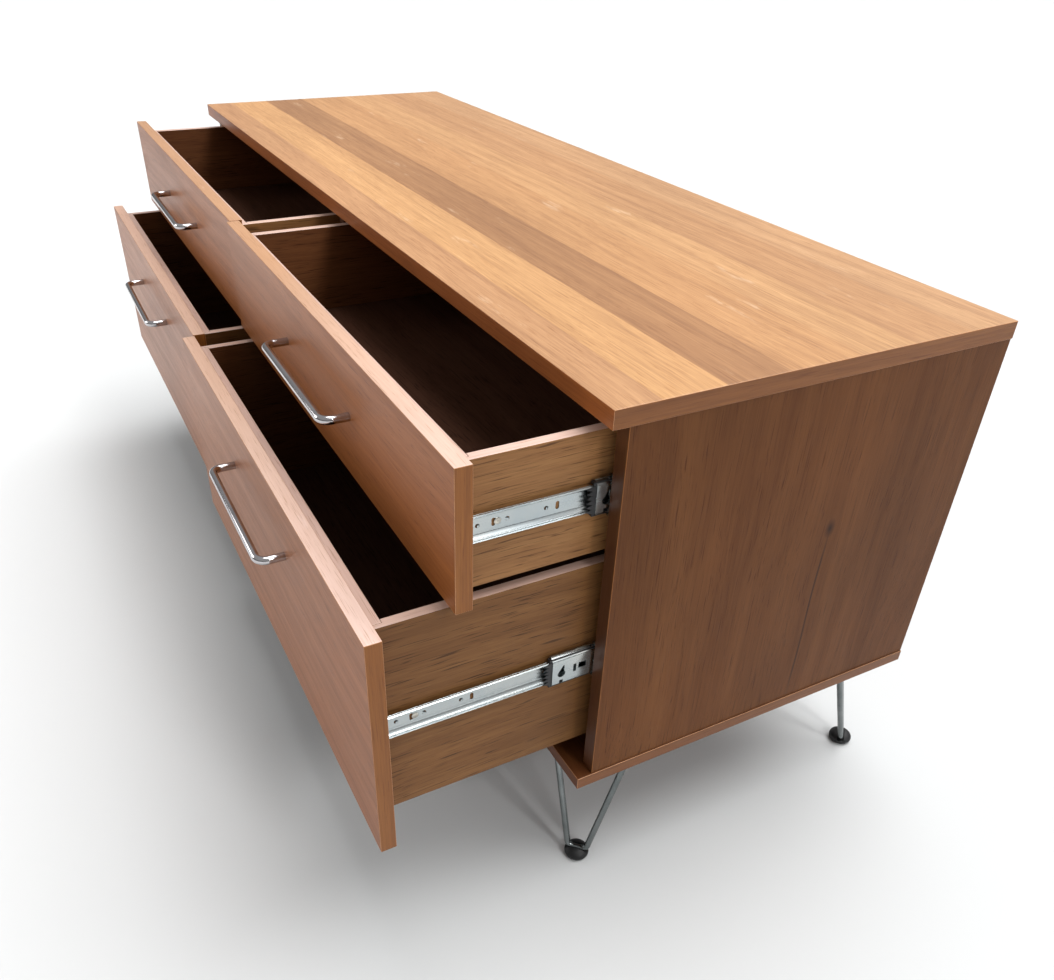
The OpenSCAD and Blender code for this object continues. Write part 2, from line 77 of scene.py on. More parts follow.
def addCamera(settings):
    turn = [math.radians(angle) for angle in settings["turn"]]
    bpy.ops.object.camera_add(location=settings["place"], rotation=turn)
    camera = bpy.context.active_object
    camera.name = "camera"
    camera.data.sensor_width = 36
    camera.data.lens = settings["lens"]
    camera.data.shift_x = settings["shift"][0]
    camera.data.shift_y = settings["shift"][1]
    camera.data.dof.use_dof = False
    bpy.context.scene.camera = camera


addCamera(cameraSettings)


# Modelling helpers
def selectOnly(obj):
    if bpy.context.object and bpy.context.object.mode != "OBJECT":
        bpy.ops.object.mode_set(mode="OBJECT")
    bpy.ops.object.select_all(action="DESELECT")
    obj.select_set(True)
    bpy.context.view_layer.objects.active = obj


def clearSelection():
    bpy.ops.object.select_all(action="DESELECT")
    bpy.context.view_layer.objects.active = None


def bake(obj):
    selectOnly(obj)
    bpy.ops.object.transform_apply(location=True, rotation=True, scale=True)


def isAt(value, place):
    return abs(value - place) < 0.001 * mm


def startBlock(name, low, high):
    clearSelection()
    low, high = Vector(low), Vector(high)
    bpy.ops.mesh.primitive_cube_add(size=1, location=(low + high) / 2, scale=high - low)
    block = bpy.context.active_object
    block.name = name
    bake(block)
    return block


def editAll(obj):
    selectOnly(obj)
    bpy.ops.object.mode_set(mode="EDIT")
    bpy.ops.mesh.select_all(action="SELECT")


def leaveEdit():
    bpy.ops.object.mode_set(mode="OBJECT")


# Nothing is selected after this, and the mesh waits for a choice of faces or edges
def startPick(obj, kind):
    selectOnly(obj)
    bpy.ops.object.mode_set(mode="EDIT")
    bpy.ops.mesh.select_mode(type=kind)
    bpy.ops.mesh.select_all(action="DESELECT")
    leaveEdit()


def pickFaces(obj, test):
    startPick(obj, "FACE")
    for face in obj.data.polygons:
        face.select = test(face.center, face.normal)
    bpy.ops.object.mode_set(mode="EDIT")


def pickEdges(obj, test):
    startPick(obj, "EDGE")
    points = obj.data.vertices
    for edge in obj.data.edges:
        edge.select = test(points[edge.vertices[0]].co, points[edge.vertices[1]].co)
    bpy.ops.object.mode_set(mode="EDIT")


def pull(move):
    bpy.ops.mesh.extrude_region_move(TRANSFORM_OT_translate={"value": move})


# The chosen ring is pulled up again and again, to each width and height
def pullRings(width, height, steps):
    for newWidth, newHeight in steps:
        pull((0, 0, newHeight - height))
        grow = newWidth / width
        bpy.ops.transform.resize(value=(grow, grow, 1), center_override=(0, 0, newHeight))
        width, height = newWidth, newHeight


def cutPlane(obj, place, normal):
    editAll(obj)
    bpy.ops.mesh.bisect(plane_co=place, plane_no=normal)
    leaveEdit()


def useModifier(obj, kind, **values):
    selectOnly(obj)
    bpy.ops.object.modifier_add(type=kind)
    modifier = obj.modifiers[-1]
    for key, value in values.items():
        setattr(modifier, key, value)
    bpy.ops.object.modifier_apply(modifier=modifier.name)


def carve(obj, cutter):
    useModifier(obj, "BOOLEAN", operation="DIFFERENCE", solver="EXACT", object=cutter)
    discard(cutter)


def carveBlock(obj, low, high):
    carve(obj, startBlock("cutter", low, high))


def soften(obj, width, segments=2, angle=50):
    useModifier(obj, "BEVEL", width=width, segments=segments, limit_method="ANGLE",
                angle_limit=math.radians(angle), use_clamp_overlap=True)


def smooth(obj, angle=35):
    selectOnly(obj)
    bpy.ops.object.shade_smooth_by_angle(angle=math.radians(angle))


def tidyMesh(obj):
    editAll(obj)
    bpy.ops.mesh.remove_doubles(threshold=weldReach)
    bpy.ops.mesh.normals_make_consistent(inside=False)
    leaveEdit()


def closeHoles(obj):
    editAll(obj)
    bpy.ops.mesh.remove_doubles(threshold=weldReach)
    bpy.ops.mesh.fill_holes(sides=0)
    bpy.ops.mesh.select_all(action="SELECT")
    bpy.ops.mesh.normals_make_consistent(inside=False)
    leaveEdit()


def discard(*objects):
    for obj in objects:
        bpy.data.objects.remove(obj, do_unlink=True)


def copyPiece(source, name, change):
    piece = source.copy()
    piece.data = source.data.copy()
    piece.name = name
    bpy.context.scene.collection.objects.link(piece)
    piece.data.transform(change)
    if change.determinant() < 0:
        piece.data.flip_normals()
    return piece


def joinPieces(pieces, name):
    selectOnly(pieces[0])
    for piece in pieces[1:]:
        piece.select_set(True)
    if len(pieces) > 1:
        bpy.ops.object.join()
    pieces[0].name = name
    pieces[0].data.name = name
    return pieces[0]


def paintAll(obj, material):
    obj.data.materials.clear()
    obj.data.materials.append(material)


def paintByFace(obj, materials, choose):
    obj.data.materials.clear()
    for material in materials:
        obj.data.materials.append(material)
    for face in obj.data.polygons:
        face.material_index = choose(face.center, face.normal)


def finishPiece(obj, node):
    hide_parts(node)
    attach(obj, frame["nodes"][node]["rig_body"])


# Short names for the nodes of one node tree
class Recipe:
    def __init__(self, tree):
        self.nodes = tree.nodes
        self.links = tree.links
        self.nodes.clear()

    def join(self, value, socket):
        if isinstance(value, (int, float)):
            socket.default_value = value
        elif isinstance(value, tuple):
            socket.default_value = (*value, 1)
        else:
            self.links.new(value, socket)

    def place(self, kind="Object"):
        return self.nodes.new("ShaderNodeTexCoord").outputs[kind]

    def mapping(self, source, scale=(1, 1, 1), turn=(0, 0, 0), offset=(0, 0, 0)):
        node = self.nodes.new("ShaderNodeMapping")
        node.inputs["Location"].default_value = offset
        node.inputs["Rotation"].default_value = turn
        node.inputs["Scale"].default_value = scale
        self.links.new(source, node.inputs["Vector"])
        return node.outputs[0]

    def noise(self, source, scale, detail=4.0, rough=0.5, distortion=0.0):
        node = self.nodes.new("ShaderNodeTexNoise")
        node.inputs["Scale"].default_value = scale
        node.inputs["Detail"].default_value = detail
        node.inputs["Roughness"].default_value = rough
        node.inputs["Distortion"].default_value = distortion
        self.links.new(source, node.inputs["Vector"])
        return node.outputs["Fac"]

    def ramp(self, source, stops, kind="LINEAR"):
        ramp = self.nodes.new("ShaderNodeValToRGB")
        ramp.color_ramp.interpolation = kind
        while len(ramp.color_ramp.elements) < len(stops):
            ramp.color_ramp.elements.new(0.5)
        for element, (place, colour) in zip(ramp.color_ramp.elements, stops):
            element.position = place
            element.color = (*colour, 1)
        self.links.new(source, ramp.inputs[0])
        return ramp.outputs[0]

    def calculate(self, kind, first, second):
        node = self.nodes.new("ShaderNodeMath")
        node.operation = kind
        self.join(first, node.inputs[0])
        self.join(second, node.inputs[1])
        return node.outputs[0]

    # How far a value is from the given one, either way
    def distance(self, value, centre):
        return self.calculate("ABSOLUTE", self.calculate("SUBTRACT", value, centre), 0)

    def mix(self, kind, amount, first, second):
        node = self.nodes.new("ShaderNodeMix")
        node.data_type = "RGBA"
        node.blend_type = kind
        sockets = [socket for socket in node.inputs if socket.enabled]
        for key, value in (("Factor", amount), ("A", first), ("B", second)):
            self.join(value, [socket for socket in sockets if socket.name == key][0])
        return [socket for socket in node.outputs if socket.enabled][0]

    def span(self, source, fromLow, fromHigh, toLow, toHigh):
        node = self.nodes.new("ShaderNodeMapRange")
        for key, value in (("From Min", fromLow), ("From Max", fromHigh),
                           ("To Min", toLow), ("To Max", toHigh)):
            node.inputs[key].default_value = value
        self.links.new(source, node.inputs["Value"])
        return node.outputs[0]

    def parts(self, source):
        node = self.nodes.new("ShaderNodeSeparateXYZ")
        self.links.new(source, node.inputs[0])
        return node.outputs

    def bump(self, shader, height, strength, distance):
        node = self.nodes.new("ShaderNodeBump")
        node.inputs["Strength"].default_value = strength
        node.inputs["Distance"].default_value = distance
        self.links.new(height, node.inputs["Height"])
        self.links.new(node.outputs[0], shader.inputs["Normal"])


def startMaterial(name):
    material = bpy.data.materials.new(name)
    material.use_nodes = True
    recipe = Recipe(material.node_tree)
    output = recipe.nodes.new("ShaderNodeOutputMaterial")
    shader = recipe.nodes.new("ShaderNodeBsdfPrincipled")
    recipe.links.new(shader.outputs[0], output.inputs[0])
    return material, recipe, shader


def grey(value):
    return (value, value, value)


grainTurns = {
    "x": (0, 0, 0),
    "y": (0, 0, math.radians(-90)),
    "z": (0, math.radians(90), 0),
}


# The grain runs along the pattern's own x; tones go from dark to light
def woodMaterial(name, settings):
    material, recipe, shader = startMaterial(name)
    place = recipe.place()
    turned = recipe.mapping(place, turn=grainTurns[settings["grain"]])
    turned = recipe.mapping(turned, offset=settings.get("offset", (0, 0, 0)))
    drift = recipe.noise(recipe.mapping(turned, scale=(1.1, 4.0, 4.0)), 1.6, 2.0)
    drift = recipe.calculate("MULTIPLY", recipe.calculate("SUBTRACT", drift, 0.5), settings["wander"])
    shift = recipe.nodes.new("ShaderNodeCombineXYZ")
    recipe.links.new(drift, shift.inputs["Y"])
    recipe.links.new(drift, shift.inputs["Z"])
    bent = recipe.nodes.new("ShaderNodeVectorMath")
    bent.operation = "ADD"
    recipe.links.new(turned, bent.inputs[0])
    recipe.links.new(shift.outputs[0], bent.inputs[1])
    bent = bent.outputs[0]

    across = settings.get("across", 22)
    share = settings["figureShare"]
    figure = recipe.noise(recipe.mapping(bent, scale=(0.7, across, across)), 2.6, 7.0, 0.6, 0.15)
    fibres = recipe.noise(recipe.mapping(bent, scale=(3.5, 150, 150)), 3.2, 5.0, 0.65)
    pores = recipe.noise(recipe.mapping(bent, scale=settings["poreScale"]), 2.0, 2.0, 0.5)
    blotch = recipe.noise(recipe.mapping(turned, scale=(1.3, 2.6, 2.6)), 2.2, 2.0)
    mixed = recipe.calculate("ADD", recipe.calculate("MULTIPLY", figure, share),
                             recipe.calculate("MULTIPLY", fibres, 1 - share))
    tones = settings["tones"]
    stops = [(0.5 + (index / (len(tones) - 1) - 0.5) * settings["spread"], tone)
             for index, tone in enumerate(tones)]
    colour = recipe.ramp(mixed, stops)
    if "strips" in settings:
        strips = settings["strips"]
        level = recipe.span(recipe.parts(place)[strips["axis"]], strips["from"], strips["to"], 0, 1)
        tint = recipe.ramp(level, strips["tints"], strips["kind"])
        colour = recipe.mix("MULTIPLY", 1.0, colour, tint)
    cloud = recipe.ramp(blotch, [(0.3, grey(1 - settings["blotch"])), (0.7, grey(1.0))])
    colour = recipe.mix("MULTIPLY", 1.0, colour, cloud)
    cut = settings["poreCut"]
    dots = recipe.ramp(pores, [(cut, grey(0.0)), (cut + 0.1, grey(1.0))])
    porous = recipe.mix("MULTIPLY", 1.0, colour, settings["pore"])
    colour = recipe.mix("MIX", dots, porous, colour)
    if "wear" in settings:
        patch = recipe.noise(recipe.mapping(place, scale=(3, 14, 14), turn=(0, 0, 0.5)),
                             2.4, 5.0, 0.7)
        rub = recipe.ramp(patch, [(0.64, grey(0.0)), (0.78, grey(0.5))])
        colour = recipe.mix("MIX", rub, colour, settings["wear"])
    if "crack" in settings:
        colour = addCrack(recipe, bent, colour, settings["crack"])
    recipe.links.new(colour, shader.inputs["Base Color"])

    rough = settings["rough"]
    recipe.links.new(recipe.span(mixed, 0.3, 0.7, rough + 0.07, rough - 0.03),
                     shader.inputs["Roughness"])
    shader.inputs["Specular IOR Level"].default_value = settings["gloss"]
    shader.inputs["Coat Weight"].default_value = settings["coat"]
    shader.inputs["Coat Roughness"].default_value = settings["coatRough"]
    height = recipe.calculate("ADD", recipe.calculate("MULTIPLY", fibres, 0.5), dots)
    recipe.bump(shader, height, settings["bump"], 0.3 * mm)
    return material


# A thin dark line along the grain, with a round knot near its end
def addCrack(recipe, bent, colour, crack):
    along, across, _ = recipe.parts(bent)
    line = recipe.span(recipe.distance(across, crack["across"]), crack["width"], 0, 0, 1)
    ends = recipe.span(recipe.distance(along, crack["along"]), crack["half"],
                       crack["half"] * 0.6, 0, 1)
    colour = recipe.mix("MIX", recipe.calculate("MULTIPLY", line, ends), colour, crack["colour"])
    squash = 1.6
    centre = recipe.mapping(bent, scale=(1, squash, 0),
                            offset=(-crack["knot"][0], -squash * crack["knot"][1], 0))
    reach = recipe.nodes.new("ShaderNodeVectorMath")
    reach.operation = "LENGTH"
    recipe.links.new(centre, reach.inputs[0])
    spot = recipe.span(reach.outputs["Value"], crack["knotSize"], 0, 0, 1)
    return recipe.mix("MIX", spot, colour, crack["colour"])


def metalMaterial(name, settings):
    material, recipe, shader = startMaterial(name)
    place = recipe.place()
    cloud = recipe.noise(place, settings["cloudScale"], 3.0, 0.6)
    grain = recipe.noise(recipe.mapping(place, scale=settings.get("stretch", (1, 1, 1))),
                         settings["grainScale"], 3.0, 0.6)
    colour = recipe.ramp(cloud, list(zip((0.3, 0.55, 0.75), settings["tones"])))
    recipe.links.new(colour, shader.inputs["Base Color"])
    shader.inputs["Metallic"].default_value = settings.get("metallic", 1.0)
    low, high = settings["rough"]
    recipe.links.new(recipe.span(grain, 0.25, 0.75, low, high), shader.inputs["Roughness"])
    recipe.bump(shader, grain, settings["bump"], 0.2 * mm)
    return material


walnut = [(0.085, 0.030, 0.013), (0.18, 0.070, 0.029), (0.27, 0.115, 0.048),
          (0.36, 0.165, 0.072), (0.44, 0.225, 0.105)]
# Pale tones for the up-facing rims and top edges: a painted highlight, much lighter than the wood's
# own colour
paleRimHighlight = [(0.52, 0.29, 0.19), (0.64, 0.39, 0.27), (0.72, 0.46, 0.33), (0.79, 0.53, 0.40),
           (0.86, 0.61, 0.49)]


def scaled(tones, factor):
    return [tuple(channel * gain for channel, gain in zip(tone, factor)) for tone in tones]


topLow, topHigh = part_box("top_panel")
frontLooks = {
    "grain": "x", "offset": (1.2, 2.4, 0.7), "wander": 0.05, "figureShare": 0.66,
    "tones": scaled(walnut, (1.28, 0.98, 0.62)), "spread": 0.95, "blotch": 0.16,
    "pore": (0.6, 0.5, 0.44), "poreScale": (9, 480, 480), "poreCut": 0.31,
    "rough": 0.36, "gloss": 0.30, "coat": 0.0, "coatRough": 0.25, "bump": 0.12,
}
topLooks = {
    "grain": "x", "offset": (3.1, 0.4, 0.2), "wander": 0.03, "figureShare": 0.48,
    "across": 30, "tones": scaled(walnut, (2.05, 2.6, 2.9)), "spread": 0.82, "blotch": 0.1,
    "pore": (0.72, 0.62, 0.52), "poreScale": (12, 520, 520), "poreCut": 0.31,
    "wear": (0.95, 0.72, 0.50), "rough": 0.4, "gloss": 0.42, "coat": 0.1, "coatRough": 0.35,
    "bump": 0.14,
    "strips": {
        "axis": "Y", "from": topLow.y, "to": topHigh.y, "kind": "CONSTANT",
        "tints": [(0.0, (0.92, 0.88, 0.88)), (0.0965, (1.11, 1.10, 1.0)),
                  (0.238, (0.70, 0.63, 0.58)), (0.386, (0.98, 0.93, 0.85)),
                  (0.56, (1.02, 1.01, 0.96)), (0.70, (0.93, 0.89, 0.86)),
                  (0.86, (0.98, 0.99, 1.02))],
    },
}
# The side panels' veneer is far darker than the fronts': partly a darker veneer, partly painted shade
sideDarkAndShadedLooks = {
    **frontLooks, "grain": "z", "offset": (0.4, 0.9, 3.3), "across": 11,
    "tones": scaled(walnut, (0.56, 0.465, 0.305)), "spread": 0.88, "blotch": 0.25,
    "rough": 0.4, "gloss": 0.12, "coatRough": 0.3,
}
edgeLooks = {
    "grain": "x", "offset": (2.2, 0.1, 1.7), "wander": 0.01, "figureShare": 0.5,
    "tones": scaled(walnut, (1.3, 1.2, 0.62)), "spread": 0.9, "blotch": 0.12,
    "pore": (0.7, 0.6, 0.5), "poreScale": (14, 600, 600), "poreCut": 0.3,
    "rough": 0.4, "gloss": 0.3, "coat": 0.1, "coatRough": 0.25, "bump": 0.1,
}
# Rim finish: the pale painted-highlight tones with extra gloss
rimHighlightLooks = {**edgeLooks, "tones": scaled(paleRimHighlight, (0.98, 1.05, 1.2)), "gloss": 0.6, "rough": 0.35}
boxLooks = {
    "grain": "y", "offset": (0.9, 1.4, 2.2), "wander": 0.04, "figureShare": 0.5,
    "tones": scaled(walnut, (1.22, 1.36, 1.18)), "spread": 0.85, "blotch": 0.22,
    "pore": (0.40, 0.36, 0.34), "poreScale": (11, 380, 380), "poreCut": 0.32,
    "rough": 0.45, "gloss": 0.22, "coat": 0.0, "coatRough": 0.35, "bump": 0.22,
}
crack = {
    "along": 0.708, "across": 1.082, "half": 0.135, "width": 0.0022,
    "knot": (0.835, 1.082), "knotSize": 0.014, "colour": (0.030, 0.013, 0.008),
}


# A wood like another one, with its own tones and a few changes
def wood(name, looks, tones=None, **changes):
    looks = {**looks, **changes}
    if tones:
        looks["tones"] = scaled(walnut, tones)
    return woodMaterial(name, looks)


# The top edges of the fronts take the pale tones of a painted highlight, and grow paler towards the
# right end
def paleHighlightRim(name, left, middle, right):
    return woodMaterial(name, {
        **rimHighlightLooks, "tones": paleRimHighlight, "wear": (0.90, 0.72, 0.66),
        "strips": {"axis": "X", "from": topLow.x, "to": topHigh.x, "kind": "LINEAR",
                   "tints": [(0.0, left), (0.62, middle), (0.98, right)]}})


def metal(name, cloudScale, grainScale, tones, rough, bump, **changes):
    return metalMaterial(name, {"cloudScale": cloudScale, "grainScale": grainScale,
                                "tones": tones, "rough": rough, "bump": bump, **changes})


finishes = {
    "topFace": woodMaterial("top_veneer", topLooks),
    "topEdge": wood("top_edge_band", edgeLooks, (1.35, 0.95, 0.55), offset=(4.2, 1.1, 0.3)),
    "topEnd": wood("top_end_band", edgeLooks, (0.82, 0.68, 0.38), grain="y"),
    "bottomFace": wood("bottom_veneer", frontLooks, (0.40, 0.30, 0.22), offset=(5.1, 0.2, 1.9)),
    "bottomEdge": wood("bottom_edge_band", edgeLooks, (0.50, 0.34, 0.20), offset=(1.2, 3.1, 0.3)),
    "bottomEnd": wood("bottom_end_band", edgeLooks, (0.72, 0.58, 0.34), grain="y"),
    # Front top edges carry a painted highlight; the lower drawers' are paler along their whole
    # length, a painted sheen
    "rimUpperHighlight": paleHighlightRim("rim_band_upper_painted_highlight", (0.74, 0.62, 0.45), (0.80, 0.68, 0.50),
                        (1.1, 1.18, 1.32)),
    "rimLowerHighlight": paleHighlightRim("rim_band_lower_painted_highlight", (0.95, 0.93, 0.95), (0.98, 0.99, 1.0),
                        (1.12, 1.24, 1.45)),
    # Box rims: the same pale painted highlight
    "rimDeepHighlight": wood("rim_band_deep_painted_highlight", rimHighlightLooks, grain="y"),
    "rimCrossHighlight": woodMaterial("rim_band_cross_painted_highlight", rimHighlightLooks),
    "sideFace": woodMaterial("side_veneer", sideDarkAndShadedLooks),
    "sideFaceRight": wood("side_veneer_knotty", sideDarkAndShadedLooks, crack=crack),
    "sideEdge": wood("side_edge_band", sideDarkAndShadedLooks, (0.36, 0.27, 0.18), offset=(0.1, 3.9, 1.3),
                     gloss=0.4),
    "frontFace": woodMaterial("front_veneer", frontLooks),
    "edgeLong": woodMaterial("edge_band_long", edgeLooks),
    "edgeUpright": wood("edge_band_upright", edgeLooks, (1.0, 0.82, 0.37), grain="z"),
    # The eased arrises take much paler tones and more gloss: a painted highlight along the edges
    "arris": wood("arris_painted_highlight", edgeLooks, (2.1, 2.3, 2.3), gloss=0.7),
    "boxSide": woodMaterial("box_wood_side", boxLooks),
    # The lower drawers' box sides: a darker copy of the box wood, painted shade
    "boxSideShaded": wood("box_wood_side_painted_shade", boxLooks, (0.74, 0.76, 0.57),
                        offset=(1.7, 0.3, 2.6)),
    "boxCross": wood("box_wood_cross", boxLooks, grain="x"),
    # The boxes' inner faces: darker copies of the box wood, painted shade inside the drawers
    "boxInsideShadeLong": wood("box_wood_inside_long_painted_shade", boxLooks, (0.66, 0.56, 0.48)),
    "boxInsideShadeCross": wood("box_wood_inside_cross_painted_shade", boxLooks, (0.42, 0.38, 0.36), grain="x"),
    # The drawer bottoms: dark wood, darkened further as painted shade
    "boxBaseDarkAndShaded": wood("box_base_wood_dark_and_painted_shade", boxLooks, (0.36, 0.36, 0.50), grain="x", gloss=0.1),
    "backBoard": wood("back_board_face", boxLooks, (0.75, 0.68, 0.6), grain="x", rough=0.6,
                      spread=0.5),
    "dowelWood": wood("dowel_beech", boxLooks, (1.7, 2.1, 2.6), grain="z", rough=0.6),
    "handleChrome": metal(
        "handle_chrome", 14, 420, [(0.42, 0.40, 0.41), (0.52, 0.50, 0.51), (0.60, 0.59, 0.60)],
        (0.07, 0.15), 0.02),
    "legChrome": metal(
        "leg_chrome", 22, 300,
        [(0.15, 0.165, 0.165), (0.20, 0.215, 0.215), (0.27, 0.285, 0.285)], (0.16, 0.3), 0.03),
    "zinc": metal(
        "zinc_steel", 18, 200, [(0.42, 0.47, 0.49), (0.48, 0.51, 0.51), (0.54, 0.55, 0.53)],
        (0.2, 0.3), 0.012, stretch=(1, 0.08, 1)),
    "screwSteel": metal(
        "screw_steel", 60, 500, [(0.42, 0.40, 0.36), (0.60, 0.58, 0.52), (0.72, 0.70, 0.64)],
        (0.25, 0.42), 0.05),
    "ballSteel": metal(
        "ball_steel", 80, 300, [(0.55, 0.56, 0.58), (0.7, 0.71, 0.73), (0.8, 0.81, 0.83)],
        (0.08, 0.16), 0.01),
    "cagePlastic": metal(
        "cage_plastic", 40, 700,
        [(0.010, 0.010, 0.011), (0.016, 0.016, 0.018), (0.03, 0.03, 0.032)],
        (0.35, 0.55), 0.12, metallic=0.0),
    "glideRubber": metal(
        "glide_rubber", 50, 600,
        [(0.003, 0.003, 0.003), (0.005, 0.005, 0.006), (0.012, 0.012, 0.013)],
        (0.45, 0.65), 0.12, metallic=0.0),
}
print("finishes made")


# Carcass boards
carcassSettings = {
    "arris": 0.9 * mm,
    "backGap": 0.25 * mm,      # round the back panel, in its step
    "backInset": 14 * mm,
    "backArris": 0.5 * mm,
}


def flatWay(normal):
    sizes = [abs(part) for part in normal]
    return sizes.index(max(sizes)) if max(sizes) > flatFacing else 3


# Which finish a face of a board takes: by its axis, with the eased edges last
def boardFinish(byX, byY, byZ, eased):
    order = (byX, byY, byZ, eased)
    return lambda centre, normal: order[flatWay(normal)]


# A board whose far part is cut back to a step, where the back panel lies
def makeStepped(node, name, cuts, keep):
    low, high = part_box(node)
    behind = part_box("back_panel")[0].y
    board = startBlock(name, low, (high.x, behind, high.z))
    for place, normal in cuts:
        cutPlane(board, place, normal)
    pickFaces(board, lambda c, n: n.y > facing and keep(c))
    pull((0, high.y - behind, 0))
    leaveEdit()
    return board


def makeCarcass(settings):
    arris, gap = settings["arris"], settings["backGap"]
    backLow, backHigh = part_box("back_panel")
    reach = backHigh.x + gap
    ends = [((-reach, 0, 0), (1, 0, 0)), ((reach, 0, 0), (1, 0, 0))]

    top = makeStepped("top_panel", "topPanel",
                      ends + [((0, 0, backHigh.z + gap), (0, 0, 1))],
                      lambda c: abs(c.x) > reach or c.z > backHigh.z)
    soften(top, arris, 3)
    paintByFace(top, [finishes["topFace"], finishes["topEdge"], finishes["topEnd"],
                      finishes["arris"]], boardFinish(2, 1, 0, 3))
    finishPiece(top, "top_panel")

    bottom = makeStepped("bottom_panel", "bottomPanel",
                         ends + [((0, 0, backLow.z - gap), (0, 0, 1))],
                         lambda c: abs(c.x) > reach or c.z < backLow.z)
    soften(bottom, arris, 3)
    paintByFace(bottom, [finishes["bottomFace"], finishes["bottomEdge"],
                         finishes["bottomEnd"], finishes["arris"]], boardFinish(2, 1, 0, 3))
    finishPiece(bottom, "bottom_panel")

    for node, side in (("side_panel_left", -1), ("side_panel_right", 1)):
        board = makeStepped(node, node.replace("_p", "P"), [((side * reach, 0, 0), (1, 0, 0))],
                            lambda c: abs(c.x) > reach)
        soften(board, arris * 0.7, 2)
        face = finishes["sideFaceRight" if side > 0 else "sideFace"]
        paintByFace(board, [face, finishes["sideEdge"], finishes["edgeUpright"]],
                    boardFinish(0, 1, 1, 2))
        finishPiece(board, node)

    low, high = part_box("centre_divider")
    divider = startBlock("centreDivider", low, high)
    soften(divider, arris * 0.7, 2)
    paintByFace(divider, [finishes["sideFace"], finishes["sideEdge"]],
                boardFinish(0, 1, 1, 1))
    finishPiece(divider, "centre_divider")

    back = startBlock("backPanel", backLow, backHigh)
    pickFaces(back, lambda c, n: n.y > facing)
    bpy.ops.mesh.inset(thickness=settings["backInset"])
    leaveEdit()
    soften(back, settings["backArris"], 2)
    paintAll(back, finishes["backBoard"])
    finishPiece(back, "back_panel")

    paintAll(frame["nodes"]["carcass_dowels"], finishes["dowelWood"])


makeCarcass(carcassSettings)
print("carcass boards made")


# Drawer fronts and boxes
drawerSettings = {
    "frontArris": 1.0 * mm,
    "boxArris": 0.8 * mm,
    "bottomArris": 0.4 * mm,
    "wall": 12 * mm,
    "grooveGap": 0.25 * mm,
}


def makeFront(name, settings):
    low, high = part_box(name + "_front")
    front = startBlock(name + "Front", low, high)
    soften(front, settings["frontArris"], 3)
    # Top edges take the pale painted highlight, paler on the lower drawers as a painted sheen
    rim = finishes["rimLowerHighlight" if name.startswith("lower") else "rimUpperHighlight"]
    paintByFace(front, [finishes["frontFace"], rim, finishes["edgeUpright"],
                        finishes["edgeLong"], finishes["arris"]],
                lambda c, n: 3 if n.z < -flatFacing else boardFinish(2, 0, 1, 4)(c, n))
    finishPiece(front, name + "_front")


def makeBox(name, settings):
    wall = settings["wall"]
    baseLow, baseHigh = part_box(name + "_box_bottom")
    gap = Vector((1, 1, 1)) * settings["grooveGap"]
    grooveLow, grooveHigh = baseLow - gap, baseHigh + gap
    for side in ("left", "right"):
        sign = -1 if side == "left" else 1
        low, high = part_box(f"{name}_box_{side}")
        board = startBlock(f"{name}Box{side.title()}", (low.x, low.y + wall, low.z),
                           (high.x, high.y - wall, high.z))
        middle = (low.x + high.x) / 2
        cutPlane(board, (middle, 0, 0), (1, 0, 0))
        for way in (-1, 1):
            pickFaces(board, lambda c, n: n.y * way > facing and (c.x - middle) * sign > 0)
            pull((0, way * wall, 0))
            leaveEdit()
        carveBlock(board, grooveLow, grooveHigh)
        soften(board, settings["boxArris"], 2)
        # Lower drawers' sides take the darker copy of the box wood, a painted shade
        outside = finishes["boxSideShaded" if name.startswith("lower") else "boxSide"]
        # Inner faces take the painted-shade wood, top faces the pale painted highlight
        paintByFace(board, [outside, finishes["boxInsideShadeLong"], finishes["rimDeepHighlight"]],
                    lambda c, n: 2 if n.z > mostlyFacing
                    else 1 if n.x * sign < -mostlyFacing else 0)
        finishPiece(board, f"{name}_box_{side}")
    for end in ("front", "back"):
        low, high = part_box(f"{name}_box_{end}")
        board = startBlock(f"{name}Box{end.title()}", low, high)
        carveBlock(board, grooveLow, grooveHigh)
        soften(board, settings["boxArris"], 2)
        inward = 1 if end == "front" else -1
        # Inner faces take the painted-shade wood, top faces the pale painted highlight
        paintByFace(board, [finishes["boxCross"], finishes["boxInsideShadeCross"],
                            finishes["rimCrossHighlight"]],
                    lambda c, n: 2 if n.z > mostlyFacing
                    else 1 if n.y * inward > mostlyFacing else 0)
        finishPiece(board, f"{name}_box_{end}")
    base = startBlock(name + "BoxBottom", baseLow, baseHigh)
    soften(base, settings["bottomArris"], 2)
    # Drawer bottoms take the dark wood with its painted shade
    paintAll(base, finishes["boxBaseDarkAndShaded"])
    finishPiece(base, name + "_box_bottom")


for name in drawerNames:
    makeFront(name, drawerSettings)
    makeBox(name, drawerSettings)
print("drawer boxes made")


# Handles
handleSettings = {
    "radius": 5 * mm,
    "bend": 12 * mm,
    "sides": 32,
    "bendSteps": 12,
}


# A rod is drawn out of a ring: straight, round a bend, straight again
def ringAt(name, place, normal, radius, sides):
    clearSelection()
    turn = Vector((0, 0, 1)).rotation_difference(Vector(normal)).to_euler()
    bpy.ops.mesh.primitive_circle_add(vertices=sides, radius=radius, fill_type="NOTHING",
                                      location=place, rotation=turn)
    ring = bpy.context.active_object
    ring.name = name
    bake(ring)
    editAll(ring)
    return ring


def pullStraight(move):
    bpy.ops.mesh.extrude_edges_move(TRANSFORM_OT_translate={"value": move})


# Spin counts its angle the other way round its axis
def pullRound(centre, axis, angle, steps):
    bpy.ops.mesh.spin(steps=steps, angle=-angle, center=centre, axis=axis, dupli=False)


